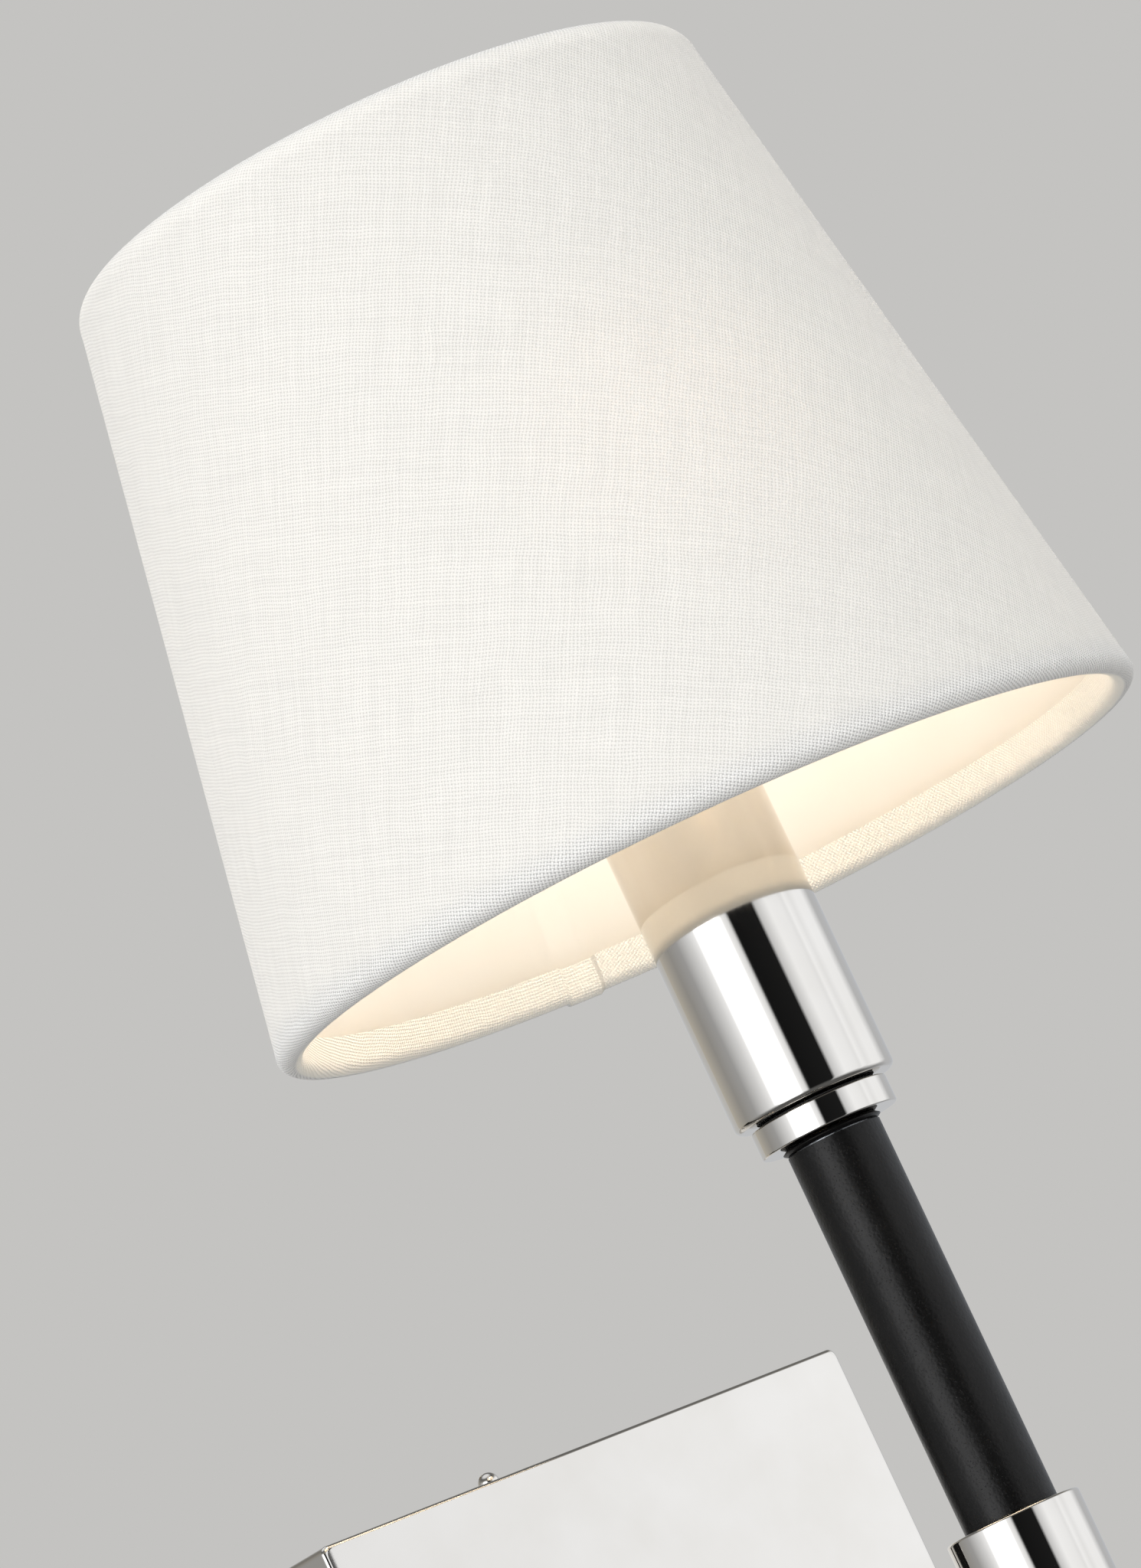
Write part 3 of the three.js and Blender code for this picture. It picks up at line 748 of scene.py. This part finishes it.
# ---- column ------------------------------------------------------------------------------------

def make_hub():
    low, high = heights("hub")
    hub = turned("hub_body", ring_outline(radius_of("hub"), low, high, PIPE_BORE, 0.6 * MM), 192)
    polish(hub, "hub")


def make_hub_cap():
    """The cap that closes the hub from below, with a spigot up into it."""
    low, high = heights("bottom_cap")
    wide, seat = radius_of("bottom_cap"), heights("hub")[0] - 0.3 * MM
    cap = turned("hub_cap", rounded([
        (0, low),
        (wide * 0.72, low + 1.1 * MM, 5 * MM),
        (wide, low + 3.6 * MM, 1.0 * MM),
        (wide, seat - 0.6 * MM, 0.3 * MM),
        (wide - 0.9 * MM, seat, 0.2 * MM),
        (5 * MM, seat, 0.2 * MM),
        (5 * MM, high, 0.4 * MM),
        (0, high),
    ], closed=False), 192, closed=False)
    polish(cap, "bottom_cap")


def make_neck():
    """The polished ring under the cup, and the dark spacer between them."""
    low, high = heights("upper_ring")
    section = ring_outline(radius_of("upper_ring"), low, high + 0.45 * MM, PIPE_BORE, 0.4 * MM)
    polish(turned("ring_body", section, 192), "upper_ring")
    low, high = heights("neck_washer")
    section = ring_outline(radius_of("neck_washer"), low + 0.3 * MM, high, PIPE_BORE, 0.1 * MM)
    spacer = turned("neck_spacer", section, 128)
    finish_piece(spacer, M["fibre"], "black_fibre", "frame", "neck_washer")


def make_cup():
    low, high = heights("socket_cup")
    wide = radius_of("socket_cup")
    cup = turned("cup_shell", rounded([
        (PIPE_BORE, low, 0.2 * MM),
        (wide, low, 1.3 * MM),
        (wide, high, 0.35 * MM),
        (wide - 1.2 * MM, high, 0.35 * MM),
        (wide - 1.2 * MM, low + 2 * MM, 0.5 * MM),
        (PIPE_BORE, low + 2 * MM, 0.2 * MM),
    ]), 224)
    polish(cup, "socket_cup")


def make_leather():
    """The sleeve round the stem, and the thin lip of leather under the ring."""
    low, high = heights("leather_wrap")
    wide = radius_of("leather_wrap")
    inner = wide - 1.2 * MM
    side = [(wide, height) for height in steps_between(low, high, 60)]
    wrap = turned("stem_leather", [(inner, low)] + side + [(inner, high)], 160)
    finish_piece(wrap, M["leather"], "leather", "frame", "leather_wrap")
    low, high = heights("leather_lip")
    wide = radius_of("leather_lip") + 0.25 * MM
    high += 0.2 * MM
    middle_z = (low + high) / 2
    lip = turned("stem_lip", rounded([
        (inner, low),
        (wide - 0.9 * MM, low, 0.1 * MM),
        (wide, middle_z, 0.12 * MM),
        (wide - 0.9 * MM, high, 0.1 * MM),
        (inner, high),
    ], segments=3), 160, sharp=60)
    finish_piece(lip, M["leather"], "leather", "frame", "leather_lip")


# ---- socket and bulb ---------------------------------------------------------------------------

def make_socket():
    low, high = heights("socket_body")
    shoulder = heights("socket_cup")[1] + 0.3 * MM
    shoulder_top = shoulder + 2.4 * MM
    bore = 7 * MM
    thread = 13.8 * MM
    floor = high - 24 * MM
    outline = rounded([
        (0, low), (13 * MM, low, 0.5 * MM), (13 * MM, shoulder), (16.5 * MM, shoulder, 0.3 * MM),
        (16.5 * MM, shoulder_top, 0.4 * MM), (thread - 0.6 * MM, shoulder_top),
    ], closed=False)
    start, end = shoulder_top, high - 0.8 * MM
    outline += [(thread - 0.3 * MM, height) for height in steps_between(start, end, 34)]
    outline += rounded([
        (thread - 0.6 * MM, high - 0.5 * MM), (thread - 0.9 * MM, high, 0.2 * MM),
        (bore, high, 0.4 * MM), (bore, floor), (0, floor),
    ], closed=False)

    def thread_ridge(radius, height, angle):
        if not start < height < end or radius <= 13 * MM:
            return 0, 0
        return 0.28 * MM * math.cos(TAU * height / (1.5 * MM) - angle), 0

    body = turned("socket_shell", outline, 96, closed=False, shift=thread_ridge)
    finish_piece(body, M["phenolic"], "phenolic", "frame", "socket_body")


def make_bulb():
    low, high = heights("bulb_glass")
    neck = radius_of("bulb_base")
    wide = radius_of("bulb_glass")
    wall = 0.8 * MM
    outline = smooth_line([
        (neck - 0.2 * MM, low), (neck + 0.1 * MM, low + 1.5 * MM), (neck + 1.2 * MM, low + 5 * MM),
        (wide * 0.60, low + 10.5 * MM), (wide * 0.86, low + 18 * MM), (wide, low + 31 * MM),
        (wide * 0.85, low + 51 * MM), (wide * 0.6, low + 63.5 * MM), (wide * 0.3, low + 74.5 * MM),
        (wide * 0.12, low + 79.2 * MM), (0, high),
    ], 8)
    inside = []
    for radius, height in reversed(outline):
        inside.append((max(radius - wall, 0), height - (wall if height > low + 70 * MM else 0)))
    inside[0] = (0, high - 1.2 * MM)
    outline += inside[:-1] + [(neck - 1.0 * MM, low)]
    glass = turned("bulb_envelope", outline, 96, sharp=80)
    finish_piece(glass, M["glass"], "frosted_glass", "bulb", "bulb_glass")


def make_bulb_base():
    """The bulb's threaded shell."""
    low, high = heights("bulb_base")
    wide = radius_of("bulb_base")
    start, end = low + 2 * MM, high - 3 * MM
    outline = [(0, low), (wide - 1.7 * MM, low), (wide - 0.6 * MM, low + 1.5 * MM)]
    outline += [(wide - 0.35 * MM, height) for height in steps_between(start, end, 48)]
    outline += [(wide - 0.1 * MM, high - 2.4 * MM), (wide, high - 0.4 * MM)]
    outline += [(wide - 0.3 * MM, high), (0, high)]

    def thread_ridge(radius, height, angle):
        if not start <= height <= end or radius <= wide - 0.5 * MM:
            return 0, 0
        return 0.32 * MM * math.cos(TAU * height / (2.5 * MM) - angle), 0

    base = turned("bulb_screw_cap", outline, 72, closed=False, shift=thread_ridge)
    finish_piece(base, M["bulb_cap"], "bulb_metal", "bulb", "bulb_base")


# ---- wiring and fixings ------------------------------------------------------------------------

def lead(name, route, cover, slot, node):
    """A covered lead along a smooth route, given in millimetres."""
    points = [tuple(value * MM for value in point) for point in route]
    finish_piece(tube_along(name, points, LEAD_RADIUS), M[cover], slot, "frame", node)


def make_supply_leads():
    """Two leads down the stem, round the bend in the hub and along the arm into the plate."""
    bend = 8
    column_y = COLUMN.y / MM
    start = heights("socket_body")[0] / MM + 7
    corner = arc((column_y + bend, bend), bend, 180, 270, 3)
    for colour, side in (("black", -1), ("white", 1)):
        x = side * 1.8
        cap = middle(f"wire_nut_{colour}") / MM
        cap_top = heights(f"wire_nut_{colour}")[1] / MM
        route = [(x, column_y, start), (x, column_y, 60)]
        route += [(x, y, z) for y, z in corner]
        route += [(x, -60, 0), (x, -27, 0), (x + side * 2, -19, -1), (side * 16, -14, -8)]
        route += [(cap.x, -14, -22), (cap.x, cap.y + 1, cap_top + 3), (cap.x, cap.y, cap_top - 6)]
        lead(f"lead_{colour}", route, colour, f"{colour}_lead", f"wire_{colour}")


def make_ground_lead():
    """From the ring terminal under the arm's nut, in a loose loop, to the green screw on the strap."""
    start_y = (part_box("ground_wire")[0].y + LEAD_RADIUS) / MM
    screw_edge = (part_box("ground_screw")[0].x - LEAD_RADIUS) / MM
    screw_height = middle("ground_screw").z / MM
    lead("lead_ground", [
        (0, start_y, -18.2), (-1, start_y + 1, -23), (-8, -24, -30), (-17, -12, -18),
        (-16, -4.6, 4), (-10, -3.6, 14), (screw_edge, -3.6, screw_height),
    ], "green", "green_lead", "ground_wire")


def make_wire_nut(colour):
    """A twist-on cap with grip ribs, open at the top."""
    node = f"wire_nut_{colour}"
    low, high = heights(node)
    wide = radius_of(node)
    floor = high - 11 * MM

    def ribs(radius, height, angle):
        if radius < 3.2 * MM or height > high - 2.5 * MM:
            return 0, 0
        return -0.45 * MM * (0.5 + 0.5 * math.cos(12 * angle)), 0

    outline = [(0, floor)] + rounded([
        (3 * MM, floor),
        (3 * MM, high, 0.4 * MM),
        (wide, high, 0.6 * MM),
        (wide, high - 2.3 * MM, 0.3 * MM),
    ], closed=False)
    outline += [(wide - 2.2 * MM * k, high - 2.8 * MM - 12.6 * MM * k) for k in steps_between(0, 1, 10)]
    outline += [(wide - 3.2 * MM, low + 0.4 * MM), (wide - 4.2 * MM, low), (0, low)]
    cap = turned(f"twist_cap_{colour}", outline, 144, middle(node), closed=False, shift=ribs)
    finish_piece(cap, M[colour], f"{colour}_cap", "frame", node)


def make_fixings():
    """The strap, the ring terminal and the arm's nut, with their edges rounded."""
    fixings = (
        ("mounting_bracket", "wall_strap", 0.25 * MM),
        ("ring_terminal", "ground_terminal", 0.12 * MM),
        ("arm_locknut", "arm_nut", 0.25 * MM),
    )
    for node, name, edge in fixings:
        finish_piece(softened(node, name, edge), M["steel"], "zinc_steel", "frame", node)


def make_shade_ring():
    """Clamp ring with a knurled flange."""
    low, high = heights("shade_ring")
    wide = radius_of("shade_ring")
    bore = 14.1 * MM

    def knurl(radius, height, angle):
        return (-0.5 * MM * abs(math.sin(30 * angle)), 0) if radius > wide - 0.4 * MM else (0, 0)

    ring = turned("clamp_ring", rounded([
        (bore, low, 0.2 * MM),
        (wide - 0.6 * MM, low, 0.1 * MM),
        (wide, low + 0.4 * MM, 0.1 * MM),
        (wide, low + 1.8 * MM, 0.1 * MM),
        (wide - 0.6 * MM, low + 2.2 * MM, 0.1 * MM),
        (wide - 3.5 * MM, low + 2.6 * MM, 0.3 * MM),
        (wide - 3.5 * MM, high - 0.6 * MM, 0.2 * MM),
        (wide - 4.2 * MM, high, 0.2 * MM),
        (bore, high, 0.4 * MM),
    ], segments=3), 360, shift=knurl)
    finish_piece(ring, M["phenolic"], "phenolic", "clamp_ring", "shade_ring")


def make_spider():
    """A flat ring on the socket and three bent wires up to the top hoop."""
    high = heights("spider")[1]
    ring_wide, ring_thick = 22.5 * MM, 1.6 * MM
    low = heights("shade_ring")[0] - ring_thick - 0.2 * MM
    hoop_low, hoop_high = heights("top_wire")
    hoop_radius = radius_of("top_wire") - (hoop_high - hoop_low) / 2
    section = ring_outline(ring_wide, low, low + ring_thick, 14.2 * MM, 0.35 * MM)
    spider = turned("shade_spider", section, 128)
    seat = low + ring_thick / 2
    half_way = (ring_wide + hoop_radius) / 2 + 3 * MM
    profile = [
        (ring_wide - 1 * MM, seat),
        (ring_wide + 4 * MM, seat + 1.5 * MM),
        (ring_wide + 9 * MM, seat + 14 * MM),
        (half_way, (seat + high) / 2),
        (hoop_radius - 1.5 * MM, high - 13 * MM),
        (hoop_radius, high - 6 * MM),
        (hoop_radius, high),
    ]
    for degrees in (90, 210, 330):
        angle = math.radians(degrees)
        points = [(COLUMN.x + r * math.cos(angle), COLUMN.y + r * math.sin(angle), z) for r, z in profile]
        boolean(spider, tube_along("spider_arm", points, 1.2 * MM), "UNION")
    finish_piece(spider, M["wire"], "hoop_wire", "shade", "spider")


# ---- shade -------------------------------------------------------------------------------------

def cloth_radius(height):
    return SHADE_RADIUS - SHADE_SLOPE * (height - CONE_LOW.z)


def seam_angles(count):
    """Angles round the shade from the seam on, with both edges of the overlap kept crisp."""
    edge = math.radians(0.25)
    lap = SEAM_WIDTH / SHADE_RADIUS
    inside = steps_between(SEAM_ANGLE + edge, SEAM_ANGLE + lap - edge, 6)
    outside = steps_between(SEAM_ANGLE + lap + edge, SEAM_ANGLE + TAU - edge, count)
    return inside + outside


def seam_shift(step, drop):
    """The overlap stands out by step and hangs lower by drop at the bottom rim."""
    lap = SEAM_WIDTH / SHADE_RADIUS

    def shift(radius, height, angle):
        if angle - SEAM_ANGLE > lap:
            return 0, 0
        fade = max(0, 1 - (height - SHADE_LOW) / (30 * MM))
        return step, -drop * fade

    return shift


def outline_lengths(outline):
    lengths = [0.0]
    for a, b in zip(outline, outline[1:]):
        lengths.append(lengths[-1] + math.dist(a, b))
    return lengths


def band(distance, width):
    """1 inside a band, fading to 0 over its last third."""
    return min(1.0, max(0.0, (width - distance) / (width / 3)))


def lay_flat(piece, outline, angles):
    """Gives each vertex its place in the flat cloth, in metres, and its hem: 0 to 1, or 2 tucked inside."""
    lengths = outline_lengths(outline)
    lowest = min(range(len(outline)), key=lambda i: outline[i][1])
    highest = max(range(len(outline)), key=lambda i: outline[i][1])
    spots = piece.data.attributes.new("flat", "FLOAT_VECTOR", "POINT")
    values = []
    rim = (APEX - SHADE_LOW) / math.cos(HALF_ANGLE)
    for i, length in enumerate(lengths):
        reach = rim - (length - lengths[lowest])
        low_hem = band(abs(length - lengths[lowest]), BOTTOM_BAND) if i >= lowest else 2.0
        hem = max(low_hem, band(abs(length - lengths[highest]), TOP_BAND)) if i <= highest else 2.0
        for angle in angles:
            turn = (angle - SEAM_ANGLE) * math.sin(HALF_ANGLE)
            values += [reach * math.sin(turn), reach * math.cos(turn), hem]
    spots.data.foreach_set("vector", values)


def cone_side(start, end, inset):
    return [(cloth_radius(height) - inset, height) for height in steps_between(start, end, 40)]


def tucked_hem(radius, start, direction, inset=0.0):
    """The hem's short run inside the shade, from its end to the rim's roll."""
    return [(radius + inset - direction * SHADE_SLOPE * HEM * k / 3, start + direction * HEM * k / 3)
            for k in (3, 2, 1)]


def top_fold(inset):
    """The cloth's wide outer curve over the top rim and its tighter inner one."""
    fold, roll_height = SHADE_HIGH - TOP_FOLD, SHADE_HIGH - TOP_ROLL
    reach, drop = TOP_FOLD - inset, TOP_ROLL - inset
    centre = cloth_radius(fold) - TOP_FOLD
    inner_centre = min(cloth_radius(roll_height) - TOP_ROLL, centre)
    return arc((centre, fold), reach, 0, 90, 10) + arc((inner_centre, roll_height), drop, 90, 180, 6)[1:]


def cloth_outline():
    """The cloth's section: its outer face from the lower hem's end to the upper one's, and back inside."""
    low, high = SHADE_LOW + BOTTOM_ROLL, SHADE_HIGH - TOP_ROLL
    low_centre = cloth_radius(low) - BOTTOM_ROLL
    inner_low, inner_high = low_centre - BOTTOM_ROLL, cloth_radius(high) - 2 * TOP_ROLL
    side_low, side_high = low + 0.5 * MM, SHADE_HIGH - TOP_FOLD - 0.5 * MM
    outline = tucked_hem(inner_low, low, 1) + arc((low_centre, low), BOTTOM_ROLL, 180, 360, 14)
    outline += cone_side(side_low, side_high, 0.0) + top_fold(0.0)
    outline += tucked_hem(inner_high, high, -1)[::-1]
    outline += tucked_hem(inner_high, high, -1, CLOTH)
    outline += top_fold(CLOTH)[::-1] + cone_side(side_high, side_low, CLOTH)
    outline += arc((low_centre, low), BOTTOM_ROLL - CLOTH, 360, 180, 12)
    return outline + tucked_hem(inner_low, low, 1, CLOTH)[::-1]


def make_shade(angles):
    outline = cloth_outline()
    cloth = turned("shade_cloth", outline, angles, shift=seam_shift(SEAM_STEP, 0.5 * MM), sharp=60)
    lay_flat(cloth, outline, angles)
    finish_piece(cloth, M["linen"], "linen", "shade", "shade_fabric", "bottom_hem", "top_hem")


def make_lining(angles):
    low, high = heights("shade_liner")
    outer, thick = radius_of("shade_liner"), 0.4 * MM
    rise = SHADE_SLOPE * (high - low)
    section = [(outer - thick, low), (outer, low), (outer - rise, high), (outer - thick - rise, high)]
    lining = turned("shade_lining", section, angles, shift=seam_shift(-0.45 * MM, 0))
    finish_piece(lining, M["styrene"], "liner", "shade", "shade_liner")


# ---- stage -------------------------------------------------------------------------------------

def studio(g, x, y, z):
    """What polished metal reflects: bands of light and dark by compass direction, dark above and below."""
    compass = g.math("ARCTAN2", x, g.math("MULTIPLY", y, -1.0))
    turn = g.remap(compass, -math.pi, math.pi)

    def at(degrees):
        return (degrees + 180) / 360

    bands = g.ramp(turn, [
        (at(-180), grey(0.46, 0.22)),
        (at(-150), grey(0.30, 0.10)),
        (at(-128), grey(0.36, 0.02)),
        (at(-106), grey(0.72)),
        (at(-96), grey(0.95)),
        (at(-88), grey(2.8)),
        (at(-60), grey(2.8)),
        (at(-52), grey(1.0)),
        (at(-46), grey(0.80)),
        (at(-42), grey(0.008)),
        (at(-8), grey(0.012)),
        (at(-4), grey(0.62)),
        (at(12), grey(0.98)),
        (at(30), grey(0.93)),
        (at(36), grey(0.87)),
        (at(41), grey(0.99)),
        (at(50), grey(0.88)),
        (at(60), grey(0.97)),
        (at(76), grey(0.95)),
        (at(93), grey(0.50)),
        (at(120), grey(0.46)),
        (at(180), grey(0.50, 0.1)),
    ])
    steep = g.math("ARCSINE", z)
    upper = g.ramp(g.remap(steep, 0, math.pi / 2), [
        (0.0, grey(0)), (0.22, grey(0)), (0.4, grey(1)), (1.0, grey(1)),
    ])
    overhead = g.ramp(g.remap(steep, 0, math.pi / 2), [
        (0.3, grey(0.25, 0.2)), (0.6, grey(0.12)), (0.8, grey(0.8)),
    ])
    lower = g.remap(steep, -0.9, -0.35, 1.0, 0.0)
    around = g.mix_colour(upper, bands, overhead)
    around = g.mix_colour(lower, around, grey(0.10, 0.05))
    return g.mix_colour(1.0, around, COOL_STUDIO, "MULTIPLY")


def make_world():
    """Soft light for the lamp, a plain backdrop, and the studio that its metal reflects."""
    world = bpy.data.worlds.new("studio")
    world.cycles.sampling_method = "NONE"
    bpy.context.scene.world = world
    g = Graph(world)
    direction = g.add("ShaderNodeTexCoord").outputs["Generated"]
    x, y, z = g.add("ShaderNodeSeparateXYZ", direction).outputs[:3]
    around = studio(g, x, y, z)
    ray = g.add("ShaderNodeLightPath")
    soft = g.ramp(g.remap(z, -1, 1), [
        (0.0, grey(1.48, 0.03)), (0.5, grey(1.69)), (1.0, grey(1.18)),
    ])
    colour = g.mix_colour(ray.outputs["Is Glossy Ray"], soft, around)
    colour = g.mix_colour(ray.outputs["Is Camera Ray"], colour, BACKDROP)
    g.output(g.add("ShaderNodeBackground", colour, 1.0), "ShaderNodeOutputWorld")


def make_floor():
    """A plain pale floor below the lamp. It is open from below, and metal reflects the studio, not it."""
    lowest = cad_bounds[0][2] - 0.25
    corners = [(x, y, lowest) for x, y in ((-30, -30), (30, -30), (30, 30), (-30, 30))]
    floor = mesh_object("floor", corners, [(0, 1, 2, 3)])
    material, g = new_material("pale_floor")
    mottle = g.noise(g.place(), 3, 3)
    tone = g.ramp(mottle, [(0.3, grey(0.248, 0.03)), (0.7, grey(0.256, 0.03))])
    bounce = g.add("ShaderNodeLightPath").outputs["Is Diffuse Ray"]
    tone = g.mix_colour(bounce, tone, grey(0.50, 0.02))
    surface = g.shade(tone, 0.8)
    under = g.add("ShaderNodeNewGeometry").outputs["Backfacing"]
    clear = g.add("ShaderNodeBsdfTransparent")
    g.output(g.add("ShaderNodeMixShader", under, surface.outputs[0], clear.outputs[0]))
    floor.data.materials.append(material)
    floor.visible_glossy = False


def make_key_light():
    data = bpy.data.lights.new("key", "AREA")
    data.shape = "DISK"
    data.size = 1.6
    data.energy = 26.5
    light = add_object("key", data)
    place = Vector((-2.5, -1.3, 0.7))
    aim = (Vector((0, COLUMN.y, 0.2)) - place).to_track_quat("-Z", "Y")
    light.matrix_world = Matrix.Translation(place) @ aim.to_matrix().to_4x4()
    light.visible_glossy = False
    light.visible_camera = False


def make_hot_spot():
    """The brightest part of the lit bulb, thrown on the inside of the shade towards the front."""
    data = bpy.data.lights.new("hot_spot", "SPOT")
    data.energy = 0.42
    data.color = (1.0, 0.58, 0.24)
    data.shadow_soft_size = 8 * MM
    data.spot_size = math.radians(95)
    data.spot_blend = 1.0
    light = add_object("hot_spot", data)
    front = Vector((math.sin(HOT_SPOT_ANGLE), -math.cos(HOT_SPOT_ANGLE), 0))
    place = Vector((COLUMN.x, COLUMN.y, middle("bulb_glass").z)) + front * 28 * MM
    light.matrix_world = Matrix.Translation(place) @ front.to_track_quat("-Z", "Y").to_matrix().to_4x4()
    light.visible_camera = False
    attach(light, "bulb")


def dress_cad():
    """Finishes the CAD nodes that show as they are."""
    finishes = {
        "stem_core": "steel", "cup_lockwasher": "steel", "cup_locknut": "steel", "ground_screw": "green",
        "arm_nipple": "brass", "lamp_pipe": "brass", "screw_shell": "brass", "center_contact": "brass",
        "bulb_tip": "bulb_cap", "bulb_insulator": "vitrite", "bottom_wire": "wire", "top_wire": "wire",
    }
    for node, key in finishes.items():
        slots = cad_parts[node].data.materials
        slots.clear()
        slots.append(M[key])


make_camera()
M = make_materials()
make_plate()
make_cap_screw("cap_screw_top", "top_screw", True)
make_cap_screw("cap_screw_bottom", "bottom_screw", False)
make_arm()
make_rose()
make_hub()
make_hub_cap()
make_neck()
make_cup()
make_leather()
make_socket()
make_bulb()
make_bulb_base()
make_shade(seam_angles(230))
make_lining(seam_angles(230))
make_spider()
make_shade_ring()
make_supply_leads()
make_ground_lead()
make_wire_nut("black")
make_wire_nut("white")
make_fixings()
dress_cad()
make_world()
make_floor()
make_key_light()
make_hot_spot()

scene = bpy.context.scene
scene.view_settings.view_transform = "Standard"
scene.cycles.use_denoising = True
